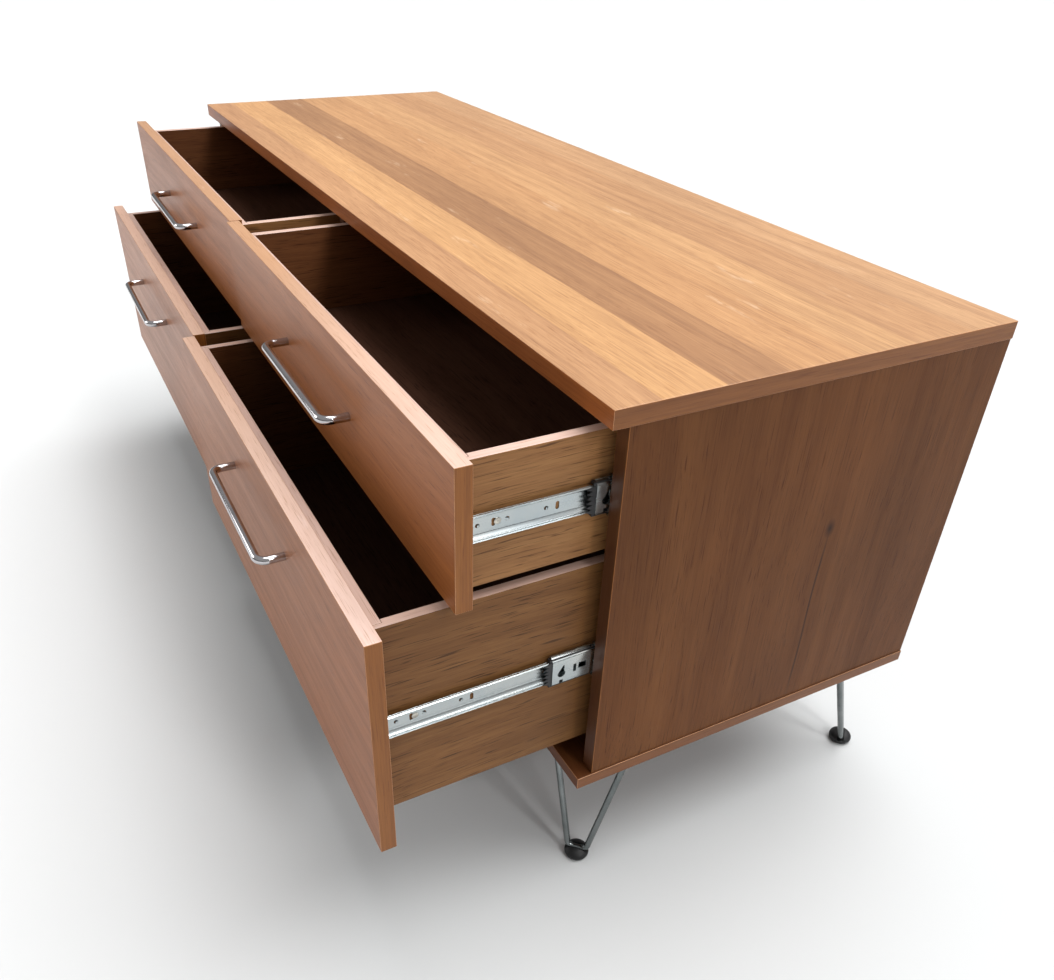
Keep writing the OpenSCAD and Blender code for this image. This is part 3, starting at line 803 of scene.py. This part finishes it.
def makeHandle(settings):
    low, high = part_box("lower_right_handle")
    radius, bend = settings["radius"], settings["bend"]
    z = (low.z + high.z) / 2
    left, right = low.x + radius, high.x - radius
    rod = ringAt("handle", (left, high.y, z), (0, -1, 0), radius, settings["sides"])
    pullStraight((0, low.y + radius + bend - high.y, 0))
    pullRound((left + bend, low.y + radius + bend, z), (0, 0, 1), math.radians(90),
              settings["bendSteps"])
    pullStraight((right - left - 2 * bend, 0, 0))
    pullRound((right - bend, low.y + radius + bend, z), (0, 0, 1), math.radians(90),
              settings["bendSteps"])
    pullStraight((0, high.y - low.y - radius - bend, 0))
    leaveEdit()
    closeHoles(rod)
    smooth(rod, 40)
    paintAll(rod, finishes["handleChrome"])
    return rod


handle = makeHandle(handleSettings)
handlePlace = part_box("lower_right_handle")[0]
for name in drawerNames:
    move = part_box(name + "_handle")[0] - handlePlace
    finishPiece(copyPiece(handle, name + "Handle", Matrix.Translation(move)),
                name + "_handle")
discard(handle)
print("handles made")


# Legs and glides
legSettings = {
    "radius": 4 * mm,
    "bend": 9 * mm,
    "sides": 20,
    "bendSteps": 10,
    "arm": 210 * mm,         # longer than needed, cut off inside the plate
    "footHalf": 11.6 * mm,
    "halfAngle": math.radians(12.55),
    "lean": math.radians(12.87),
    "footInset": 29 * mm,
    "rodLevel": 11 * mm,
    "plate": 3 * mm,
    "plateHalf": 50 * mm,
    "plateArris": 0.5 * mm,
    "cornerRound": 8 * mm,
    "weld": {"gap": 1.0 * mm, "bead": 1.8 * mm, "squash": (1.12, 1.12, 0.8),
             "uneven": 0.35 * mm},
}
corners = {
    "leg_front_left": (-1, -1), "leg_front_right": (1, -1),
    "leg_rear_left": (-1, 1), "leg_rear_right": (1, 1),
}
deckLow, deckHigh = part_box("bottom_panel")


def cornerPlace(corner, inset):
    return Vector((corner[0] * (deckHigh.x - inset),
                   deckLow.y + inset if corner[1] < 0 else deckHigh.y - inset, 0))


def footPlace(corner):
    return cornerPlace(corner, legSettings["footInset"])


# A leg leans, so its plate sits further in than its foot
def platePlace(corner):
    rise = deckLow.z - legSettings["plate"] - legSettings["rodLevel"]
    lean = rise * math.tan(legSettings["lean"]) / math.sqrt(2)
    return cornerPlace(corner, legSettings["footInset"] + lean)


def cornerTurn(corner):
    return math.radians(45 * corner[0] if corner[1] < 0 else 135 * corner[0])


def makeLegRod(settings):
    bend, half = settings["bend"], settings["halfAngle"]
    sweep = math.pi / 2 - half
    flat = settings["footHalf"] - bend * math.tan(sweep / 2)
    rise = Vector((math.sin(half), 0, math.cos(half))) * settings["arm"]
    rod = ringAt("legRod", (-flat, 0, 0), (1, 0, 0), settings["radius"], settings["sides"])
    pullStraight((2 * flat, 0, 0))
    pullRound((flat, 0, bend), (0, 1, 0), -sweep, settings["bendSteps"])
    pullStraight(rise)
    pickEdges(rod, lambda a, b: isAt(a.x, -flat) and isAt(b.x, -flat))
    pullRound((-flat, 0, bend), (0, 1, 0), sweep, settings["bendSteps"])
    pullStraight((-rise.x, 0, rise.z))
    leaveEdit()
    closeHoles(rod)
    return rod


def makePlate(corner, settings):
    half, low = settings["plateHalf"], deckLow.z - settings["plate"]
    middle = platePlace(corner)
    plate = startBlock("legPlate", (middle.x - half, middle.y - half, low),
                       (middle.x + half, middle.y + half, deckLow.z))
    pickEdges(plate, lambda a, b: abs(a.z - b.z) > 1 * mm)
    bpy.ops.mesh.bevel(offset=settings["cornerRound"], segments=6)
    leaveEdit()
    soften(plate, settings["plateArris"], 2)
    smooth(plate, 30)
    return plate


def makeLegs(settings):
    rod = makeLegRod(settings)
    rodTop = deckLow.z - settings["plate"] / 2
    for node, corner in corners.items():
        low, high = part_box(node)
        foot = footPlace(corner)
        change = (Matrix.Translation((foot.x, foot.y, settings["rodLevel"]))
                  @ Matrix.Rotation(cornerTurn(corner), 4, "Z")
                  @ Matrix.Rotation(-settings["lean"], 4, "X"))
        arms = copyPiece(rod, "legArms", change)
        editAll(arms)
        bpy.ops.mesh.bisect(plane_co=(0, 0, rodTop), plane_no=(0, 0, 1), use_fill=True,
                            clear_outer=True)
        leaveEdit()
        centre = Vector(((low.x + high.x) / 2, (low.y + high.y) / 2, 0))
        across = change.to_3x3() @ Vector((1, 0, 0))
        arcs = {}
        for point in [v.co.copy() for v in arms.data.vertices if v.co.z > rodTop - weldReach]:
            arcs.setdefault((point - centre).dot(across) > 0, []).append(point)
        plate = makePlate(corner, settings)
        welds = []
        for points in arcs.values():
            spot = sum(points, Vector()) / len(points)
            welds.append(makeWeld((spot.x, spot.y, deckLow.z - settings["plate"]), settings))
        smooth(arms, 40)
        leg = joinPieces([arms, plate] + welds, node.replace("leg_", "leg"))
        paintAll(leg, finishes["legChrome"])
        finishPiece(leg, node)
    discard(rod)


def makeWeld(place, settings):
    bead = settings["weld"]
    clearSelection()
    bpy.ops.mesh.primitive_torus_add(location=place, major_radius=settings["radius"] + bead["gap"],
                                     minor_radius=bead["bead"], major_segments=28,
                                     minor_segments=10)
    weld = bpy.context.active_object
    bake(weld)
    editAll(weld)
    bpy.ops.transform.resize(value=bead["squash"], center_override=place)
    bpy.ops.transform.vertex_random(offset=bead["uneven"], seed=4)
    leaveEdit()
    smooth(weld, 60)
    return weld


glideSettings = {
    "across": 31 * mm,
    "base": 19.84 * mm,
    "waist": 5.5 * mm,       # height of the widest ring
    "top": 15 * mm,
    "slot": 8.8 * mm,
    "slotFloor": 6.9 * mm,
    "arris": 0.5 * mm,
}


def makeGlide(settings):
    clearSelection()
    bpy.ops.mesh.primitive_circle_add(vertices=48, radius=settings["base"] / 2,
                                      fill_type="NGON", location=(0, 0, 0))
    dome = bpy.context.active_object
    dome.name = "glideDome"
    editAll(dome)
    span = settings["across"] - settings["base"]
    crest = settings["top"] - settings["waist"]
    steps = []
    for angle in (15, 30, 45, 60, 75, 90):
        lean = math.radians(angle)
        steps.append((settings["base"] + span * math.sin(lean),
                      settings["waist"] * (1 - math.cos(lean))))
    for angle in (12, 24, 36, 48, 60, 70, 78, 84):
        lean = math.radians(angle)
        steps.append((settings["across"] * math.cos(lean),
                      settings["waist"] + crest * math.sin(lean)))
    pullRings(settings["base"], 0, steps)
    leaveEdit()
    tidyMesh(dome)
    slot = settings["slot"] / 2
    carveBlock(dome, (-settings["across"], -slot, settings["slotFloor"]),
               (settings["across"], slot, settings["top"] + 5 * mm))
    soften(dome, settings["arris"], 2, 60)
    smooth(dome, 40)
    paintAll(dome, finishes["glideRubber"])
    return dome


def makeGlides(settings):
    dome = makeGlide(settings)
    domes = []
    for corner in corners.values():
        change = Matrix.Translation(footPlace(corner)) @ Matrix.Rotation(cornerTurn(corner), 4, "Z")
        domes.append(copyPiece(dome, "glide", change))
    discard(dome)
    finishPiece(joinPieces(domes, "glideDomes"), "glides")


makeLegs(legSettings)
makeGlides(glideSettings)
print("legs and glides made")


# Drawer slides
slideSettings = {
    "steel": 1.2 * mm,
    "thick": 12.7 * mm,
    "arris": 0.2 * mm,
    "screws": (34 * mm, 228.5 * mm, 417 * mm),
    "through": 4 * mm,       # a cutter reaches this far on both sides of a web
    # Holes in a middle channel: the drop's place from an end, then for each window its
    # distance from the drop, its half width and its lower and upper edge
    "middleCuts": {
        "drop": 11 * mm,
        "windows": [(0, 2.2 * mm, -15.2 * mm, -11.2 * mm), (16 * mm, 1.8 * mm, -5 * mm, 5 * mm),
                    (25 * mm, 4.5 * mm, -2.4 * mm, 5 * mm)],
        "slots": (120 * mm, 205 * mm, 290 * mm),
    },
}
cabinetShape = {"half": 23 * mm, "web": 15 * mm, "reach": 9.6 * mm, "lip": 2.2 * mm}
middleShape = {"half": 19.8 * mm, "web": 15.5 * mm, "reach": 8.3 * mm, "lip": 1.0 * mm}
drawerShape = {"half": 14.4 * mm, "web": 8.6 * mm, "reach": 7.7 * mm, "lip": 1.4 * mm}


# A channel along Y, web at x = 0, flanges towards +x, from y = 0 to its length
def makeChannel(name, shape, length):
    steel = slideSettings["steel"]
    inner = shape["half"] - steel / 2
    clearSelection()
    bpy.ops.mesh.primitive_plane_add(size=1, location=(0, length / 2, 0),
                                     rotation=(0, math.radians(90), 0))
    strip = bpy.context.active_object
    strip.name = name
    strip.scale = (2 * shape["web"], length, 1)
    bake(strip)
    for way in (-1, 1):
        x, z = 0, way * shape["web"]
        folds = [(shape["reach"] * 0.42, way * (inner - 0.4 * mm)),
                 (shape["reach"] * 0.62, way * inner),
                 (shape["reach"] - steel / 2 - shape["lip"], way * inner),
                 (shape["reach"] - steel, way * (inner - 0.9 * mm))]
        for newX, newZ in folds:
            edgeX, edgeZ = x, z
            pickEdges(strip, lambda a, b: isAt(a.x, edgeX) and isAt(b.x, edgeX)
                      and isAt(a.z, edgeZ) and isAt(b.z, edgeZ))
            pullStraight((newX - x, 0, newZ - z))
            leaveEdit()
            x, z = newX, newZ
    pickEdges(strip, lambda a, b: abs(a.y - b.y) > 0.5 * length
              and isAt(a.x, b.x) and abs(a.x) < shape["reach"] * 0.7
              and abs(a.z) < 2 * shape["half"])
    bpy.ops.mesh.bevel(offset=1.0 * mm, segments=3)
    leaveEdit()
    tidyMesh(strip)
    useModifier(strip, "SOLIDIFY", thickness=steel, offset=0.0)
    strip.data.transform(Matrix.Translation((steel / 2, 0, 0)))
    return strip


def paintChannel(channel):
    smooth(channel, 40)
    paintAll(channel, finishes["zinc"])
    return channel


def roundCutter(place, radius, sides=20):
    clearSelection()
    bpy.ops.mesh.primitive_cylinder_add(vertices=sides, radius=radius,
                                        depth=2 * slideSettings["through"],
                                        location=place, rotation=(0, math.radians(90), 0))
    cutter = bpy.context.active_object
    bake(cutter)
    return cutter


def cutWindow(channel, along, half, low, high):
    through = slideSettings["through"]
    carveBlock(channel, (-through, along - half, low), (through, along + half, high))


def cutSlot(channel, along, half, radius):
    cutWindow(channel, along, radius, -half, half)
    for way in (-1, 1):
        carve(channel, roundCutter((0, along, way * half), radius))


def addLance(channel, along, flip):
    tab = startBlock("lance", (0.2 * mm, along - 2.0 * mm, -1.4 * mm),
                     (2.6 * mm, along + 2.0 * mm, 1.4 * mm))
    pickFaces(tab, lambda c, n: n.x > facing)
    bpy.ops.transform.translate(value=(0, flip * 1.6 * mm, 0))
    bpy.ops.transform.resize(value=(1, 0.4, 0.8),
                             center_override=(2.6 * mm, along + flip * 1.6 * mm, 0))
    leaveEdit()
    soften(tab, 0.25 * mm, 2)
    return tab


def makeDrawerChannel(length):
    channel = makeChannel("drawerChannel", drawerShape, length)
    for along in (30 * mm, 96 * mm, length - 80 * mm):
        cutSlot(channel, along, 2.4 * mm, 1.9 * mm)
    for along, flip in ((14 * mm, 1), (44 * mm, -1), (84 * mm, 1), (180 * mm, 1)):
        carve(channel, roundCutter((0, along, 0), 2.2 * mm))
    soften(channel, slideSettings["arris"], 1, 60)
    tabs = [addLance(channel, along, flip)
            for along, flip in ((15.5 * mm, -1), (42.5 * mm, 1), (85.5 * mm, -1), (181.5 * mm, -1))]
    return paintChannel(joinPieces([channel] + tabs, "drawerChannel"))


def makeMiddleChannel(length):
    cuts = slideSettings["middleCuts"]
    channel = makeChannel("middleChannel", middleShape, length)
    for along, way in ((cuts["drop"], 1), (length - cuts["drop"], -1)):
        carve(channel, dropCutter(along, way))
        for offset, half, low, high in cuts["windows"]:
            cutWindow(channel, along + way * offset, half, low, high)
    for along in cuts["slots"]:
        cutSlot(channel, along, 3 * mm, 2.2 * mm)
    soften(channel, slideSettings["arris"], 1, 60)
    return paintChannel(channel)


# A drop-shaped cutter, wide at its foot and leaning to a point
def dropCutter(along, way):
    cutter = roundCutter((0, along, -2.5 * mm), 4.6 * mm, 24)
    pickEdges(cutter, lambda a, b: a.z > 1.2 * mm and b.z > 1.2 * mm)
    bpy.ops.transform.resize(value=(1, 0.35, 1), center_override=(0, along, 0))
    bpy.ops.transform.translate(value=(0, way * 2.4 * mm, 6.5 * mm))
    leaveEdit()
    return cutter


def makeCabinetChannel(length):
    channel = makeChannel("cabinetChannel", cabinetShape, length)
    for along in (60 * mm, 130 * mm, length - 90 * mm):
        cutSlot(channel, along, 3 * mm, 2.3 * mm)
    for along in (90 * mm, length - 130 * mm):
        carve(channel, roundCutter((0, along, 0), 3.2 * mm))
    soften(channel, slideSettings["arris"], 1, 60)
    return paintChannel(channel)


# Where a slide stands: the upright's face, the slide's height, and which way the box is
def slidePlaces(name):
    low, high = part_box(name + "_slide_channels")
    z = (low.z + high.z) / 2
    thick = slideSettings["thick"]
    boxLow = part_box(name + "_box_left")[0].x
    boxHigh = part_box(name + "_box_right")[1].x
    return (boxLow - thick, z, 1), (boxHigh + thick, z, -1)


def flipX(way):
    return Matrix.Diagonal((way, 1, 1, 1))


def makeSlides():
    drawerLow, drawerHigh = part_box("upper_left_slide_channels")
    middleLow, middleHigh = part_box("upper_left_middle_channels")
    cabinetLow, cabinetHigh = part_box("slide_cabinet_channels")
    drawerChannel = makeDrawerChannel(drawerHigh.y - drawerLow.y)
    middleChannel = makeMiddleChannel(middleHigh.y - middleLow.y)
    cabinetChannel = makeCabinetChannel(cabinetHigh.y - cabinetLow.y)
    fixed = []
    for name in drawerNames:
        moving = []
        between = []
        for x, z, way in slidePlaces(name):
            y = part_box(name + "_slide_channels")[0].y
            moving.append(copyPiece(drawerChannel, "channel", Matrix.Translation(
                (x + way * slideSettings["thick"], y, z)) @ flipX(-way)))
            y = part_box(name + "_middle_channels")[0].y
            between.append(copyPiece(middleChannel, "channel", Matrix.Translation(
                (x + way * 2.7 * mm, y, z)) @ flipX(way)))
            fixed.append(copyPiece(cabinetChannel, "channel", Matrix.Translation(
                (x, cabinetLow.y, z)) @ flipX(way)))
        finishPiece(joinPieces(moving, name + "SlideChannels"), name + "_slide_channels")
        finishPiece(joinPieces(between, name + "MiddleChannels"), name + "_middle_channels")
    finishPiece(joinPieces(fixed, "slideCabinetChannels"), "slide_cabinet_channels")
    discard(drawerChannel, middleChannel, cabinetChannel)


makeSlides()
print("slides made")


# Ball cages
cageSettings = {
    "length": 84 * mm,
    "lead": 10 * mm,
    "bumper": 3 * mm,
    "inner": (14.85 * mm, 18.5 * mm),     # half heights of the strips inside the middle channel
    "outer": (19.9 * mm, 21.35 * mm),     # and of those outside it
    "x": (4.3 * mm, 9.8 * mm),
    "teeth": 6,
    "toothDepth": 6.5 * mm,
    "ball": 1.7 * mm,
}


# Every second stretch of the block's front edge is pushed back
def toothedEdge(block, teeth, depth):
    zs = sorted(v.co.z for v in block.data.vertices)
    low, high = zs[0], zs[-1]
    pitch = (high - low) / (2 * teeth)
    for index in range(1, 2 * teeth):
        cutPlane(block, (0, 0, low + (high - low) * index / (2 * teeth)), (0, 0, 1))
    front = min(v.co.y for v in block.data.vertices)
    pickEdges(block, lambda a, b: isAt(a.z, b.z) and isAt(a.y, front)
              and isAt(b.y, front) and round((a.z - low) / pitch) % 2 == 0)
    bpy.ops.transform.translate(value=(0, depth, 0))
    leaveEdit()


def addBall(place, radius):
    clearSelection()
    bpy.ops.mesh.primitive_uv_sphere_add(segments=16, ring_count=10, radius=radius,
                                         location=place)
    ball = bpy.context.active_object
    bake(ball)
    smooth(ball, 80)
    paintAll(ball, finishes["ballSteel"])
    return ball


def makeCage(settings, half, y, bridge):
    pieces = []
    x0, x1 = settings["x"]
    for way in (-1, 1):
        low, high = sorted((way * half[0], way * half[1]))
        start = y + settings["lead"] - settings["bumper"] if bridge else y
        strip = startBlock("strip", (x0, start, low), (x1, y + settings["length"], high))
        pockets = [y + settings["length"] * index / 9 for index in range(2, 9)]
        for pocket in pockets:
            cutPlane(strip, (0, pocket - 2 * mm, 0), (0, 1, 0))
            cutPlane(strip, (0, pocket + 2 * mm, 0), (0, 1, 0))
        pickFaces(strip, lambda c, n: n.x > facing
                  and any(abs(c.y - pocket) < 1 * mm for pocket in pockets))
        bpy.ops.mesh.inset(thickness=0.4 * mm, depth=-1.2 * mm, use_individual=True)
        leaveEdit()
        soften(strip, 0.25 * mm, 1)
        paintAll(strip, finishes["cagePlastic"])
        pieces.append(strip)
        for pocket in pockets:
            pieces.append(addBall((x1 - 0.8 * mm, pocket, (low + high) / 2),
                                  min(settings["ball"], (high - low) / 2)))
    if bridge:
        web = startBlock("bridge", (3.95 * mm, y, -half[0]), (4.6 * mm, y + settings["lead"],
                                                             half[0]))
        toothedEdge(web, settings["teeth"], settings["toothDepth"])
        paintAll(web, finishes["cagePlastic"])
        pieces.append(web)
    return pieces


def makeCages(settings):
    middleLow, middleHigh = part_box("upper_left_middle_channels")
    length = middleHigh.y - middleLow.y
    inner = makeCage(settings, settings["inner"], -settings["lead"], True)
    outer = makeCage(settings, settings["outer"], length - settings["length"], False)
    cage = joinPieces(inner + outer, "cage")
    for name in drawerNames:
        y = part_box(name + "_middle_channels")[0].y
        copies = [copyPiece(cage, "cage", Matrix.Translation((x, y, z)) @ flipX(way))
                  for x, z, way in slidePlaces(name)]
        finishPiece(joinPieces(copies, name + "BallCages"), name + "_ball_cages")
    discard(cage)


makeCages(cageSettings)
print("ball cages made")


# Screws
screwSettings = {
    "wood": {"shank": 1.75 * mm, "head": 3.6 * mm, "thick": 0.9 * mm, "reach": 9 * mm},
    "back": {"shank": 1.75 * mm, "head": 3.6 * mm, "thick": 1.8 * mm, "reach": 14 * mm},
    "plate": {"shank": 2.25 * mm, "head": 4.6 * mm, "thick": 2.0 * mm, "reach": 14 * mm},
    "bolt": {"shank": 2.0 * mm, "head": 4.5 * mm, "thick": 2.2 * mm, "reach": 20 * mm},
    "sunk": 1.2 * mm,          # the web of a channel under a screw's head
    "frontShares": (0.2, 0.8), # heights of the screws in a box front
    "frontSpread": 0.42,       # their distance from its middle, as a share of its width
    "plateReach": 37 * mm,     # from the middle of a leg plate
    "backRow": 4 * mm,
    "backSide": 3.75 * mm,
    "backPitch": 322.08 * mm,
    "backSunk": 1.9 * mm,
}


# A screw points along -z from the plane z = 0, with its head above that plane
def makeScrew(name, settings):
    clearSelection()
    bpy.ops.mesh.primitive_circle_add(vertices=24, radius=settings["shank"] * 0.3,
                                      fill_type="NGON", location=(0, 0, -settings["reach"]))
    screw = bpy.context.active_object
    screw.name = name
    bake(screw)
    editAll(screw)
    thick, head = settings["thick"], settings["head"]
    steps = [(settings["shank"], -settings["reach"] + 3 * mm), (settings["shank"], 0),
             (head, 0.0), (head, thick * 0.45), (head * 0.86, thick * 0.82),
             (head * 0.6, thick), (head * 0.3, thick)]
    pullRings(settings["shank"] * 0.3, -settings["reach"], steps)
    leaveEdit()
    tidyMesh(screw)
    slot = head * 0.12
    deep = thick * 0.35
    for turn in (0, 1):
        reach = (head * 0.55, slot)
        size = (reach[turn], reach[1 - turn])
        carveBlock(screw, (-size[0], -size[1], deep), (size[0], size[1], thick * 2))
    smooth(screw, 35)
    paintAll(screw, finishes["screwSteel"])
    return screw


def pointing(direction):
    return Vector((0, 0, -1)).rotation_difference(Vector(direction)).to_matrix().to_4x4()


def placeScrew(source, place, direction, spin=0.0):
    change = (Matrix.Translation(place) @ pointing(direction)
              @ Matrix.Rotation(spin, 4, "Z"))
    return copyPiece(source, "screw", change)


def makeScrews(settings):
    woodScrew, backScrew, plateScrew, bolt = (
        makeScrew(kind + "Screw", settings[kind]) for kind in ("wood", "back", "plate", "bolt"))
    sunk = settings["sunk"]

    fixed = []
    y0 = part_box("slide_cabinet_channels")[0].y
    for name in drawerNames:
        screws = []
        y1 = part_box(name + "_slide_channels")[0].y
        for x, z, way in slidePlaces(name):
            for count, along in enumerate(slideSettings["screws"]):
                fixed.append(placeScrew(woodScrew, (x + way * sunk, y0 + along, z),
                                        (-way, 0, 0), 0.5 * count))
                inner = x + way * (slideSettings["thick"] - sunk)
                screws.append(placeScrew(woodScrew, (inner, y1 + along, z), (way, 0, 0),
                                         0.3 + 0.7 * count))
        low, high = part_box(name + "_box_front")
        boxLow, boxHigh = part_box(name + "_box_left")[0].x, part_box(name + "_box_right")[1].x
        for side in (-1, 1):
            for share in settings["frontShares"]:
                x = (boxLow + boxHigh) / 2 + side * (boxHigh - boxLow) * settings["frontSpread"]
                place = (x, high.y, low.z + share * (high.z - low.z))
                screws.append(placeScrew(backScrew, place, (0, -1, 0), 0.4 * side + share))
        handleLow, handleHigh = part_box(name + "_handle")
        inset = handleSettings["radius"]
        for x in (handleLow.x + inset, handleHigh.x - inset):
            place = (x, high.y, (handleLow.z + handleHigh.z) / 2)
            screws.append(placeScrew(bolt, place, (0, -1, 0), x * 9))
        finishPiece(joinPieces(screws, name + "Screws"), name + "_screws")
    finishPiece(joinPieces(fixed, "slideCabinetScrews"), "slide_cabinet_screws")

    screws = []
    reach = settings["plateReach"]
    for corner in corners.values():
        middle = platePlace(corner)
        for dx, dy in ((reach, 0), (-reach, 0), (0, reach), (0, -reach)):
            place = (middle.x + dx, middle.y + dy, deckLow.z - legSettings["plate"])
            screws.append(placeScrew(plateScrew, place, (0, 0, 1), (3 * dx + dy) / (10 * mm)))
    finishPiece(joinPieces(screws, "legScrews"), "leg_screws")

    backLow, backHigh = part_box("back_panel")
    rows = [backLow.z + settings["backRow"], backHigh.z - settings["backRow"]]
    sideX = backHigh.x - settings["backSide"]
    uprights = [deckHigh.z + (topLow.z - deckHigh.z) * share / 4 for share in (1, 2, 3)]
    places = [(side * sideX, z) for side in (-1, 1) for z in uprights]
    places += [(count * settings["backPitch"], z) for count in (-2, -1, 0, 1, 2) for z in rows]
    places += [(0, z) for z in uprights]
    screws = [placeScrew(backScrew, (x, backHigh.y - settings["backSunk"], z), (0, -1, 0), x + z * 5)
              for x, z in places]
    finishPiece(joinPieces(screws, "backPanelScrews"), "back_panel_screws")
    discard(woodScrew, backScrew, plateScrew, bolt)


makeScrews(screwSettings)
print("screws made")


# Room and light
roomSettings = {
    "floorSize": 40,
    "floor": (0.64, 0.65, 0.652),
    "sky": 0.44,
    "sun": {"from": (-0.15, 0.95, 2.2), "angle": 60, "power": 3.65},
    "spot": {"from": (2.7, 0.66, 2.0), "angle": 12, "power": 0.8},
    "fill": {"place": (-2.6, -3.2, 2.0), "aim": (0, 0, 0.4), "size": 2.4, "power": 52},
}


def makeFloor(settings):
    clearSelection()
    bpy.ops.mesh.primitive_plane_add(size=settings["floorSize"], location=(0, 0, 0))
    floor = bpy.context.active_object
    floor.name = "floor"
    material, recipe, shader = startMaterial("studio_floor")
    cloud = recipe.noise(recipe.place(), 1.5, 2.0)
    low = tuple(channel * 0.99 for channel in settings["floor"])
    colour = recipe.ramp(cloud, [(0.3, low), (0.7, settings["floor"])])
    recipe.links.new(colour, shader.inputs["Base Color"])
    shader.inputs["Roughness"].default_value = 0.9
    shader.inputs["Specular IOR Level"].default_value = 0.1
    paintAll(floor, material)


def makeLamp(name, settings):
    place = Vector(settings["place"])
    aim = Vector(settings["aim"]) - place
    turn = aim.to_track_quat("-Z", "Y").to_euler()
    bpy.ops.object.light_add(type="AREA", location=place, rotation=turn)
    lamp = bpy.context.active_object
    lamp.name = name
    lamp.data.shape = "DISK"
    lamp.data.size = settings["size"]
    lamp.data.energy = settings["power"]


def makeSun(name, settings):
    turn = (-Vector(settings["from"])).to_track_quat("-Z", "Y").to_euler()
    bpy.ops.object.light_add(type="SUN", location=settings["from"], rotation=turn)
    sun = bpy.context.active_object
    sun.name = name
    sun.data.angle = math.radians(settings["angle"])
    sun.data.energy = settings["power"]


def makeSky(settings):
    world = bpy.data.worlds.new("studio")
    bpy.context.scene.world = world
    world.use_nodes = True
    recipe = Recipe(world.node_tree)
    nodes, links = recipe.nodes, recipe.links
    output = nodes.new("ShaderNodeOutputWorld")
    seen = nodes.new("ShaderNodeBackground")
    seen.inputs["Color"].default_value = (1, 1, 1, 1)
    seen.inputs["Strength"].default_value = 1.0
    glow = nodes.new("ShaderNodeBackground")
    glow.inputs["Strength"].default_value = settings["sky"]
    tone = recipe.ramp(recipe.parts(recipe.place("Generated"))["Z"],
                       [(0.0, grey(0.35)), (0.15, grey(0.45)), (0.6, grey(1.0))])
    links.new(tone, glow.inputs["Color"])
    path = nodes.new("ShaderNodeLightPath")
    mix = nodes.new("ShaderNodeMixShader")
    links.new(path.outputs["Is Camera Ray"], mix.inputs[0])
    links.new(glow.outputs[0], mix.inputs[1])
    links.new(seen.outputs[0], mix.inputs[2])
    links.new(mix.outputs[0], output.inputs[0])


makeFloor(roomSettings)
makeSun("softSun", roomSettings["sun"])
makeSun("crispSun", roomSettings["spot"])
makeLamp("fillLamp", roomSettings["fill"])
makeSky(roomSettings)
bpy.context.scene.view_settings.view_transform = "Standard"
print("room and light made")
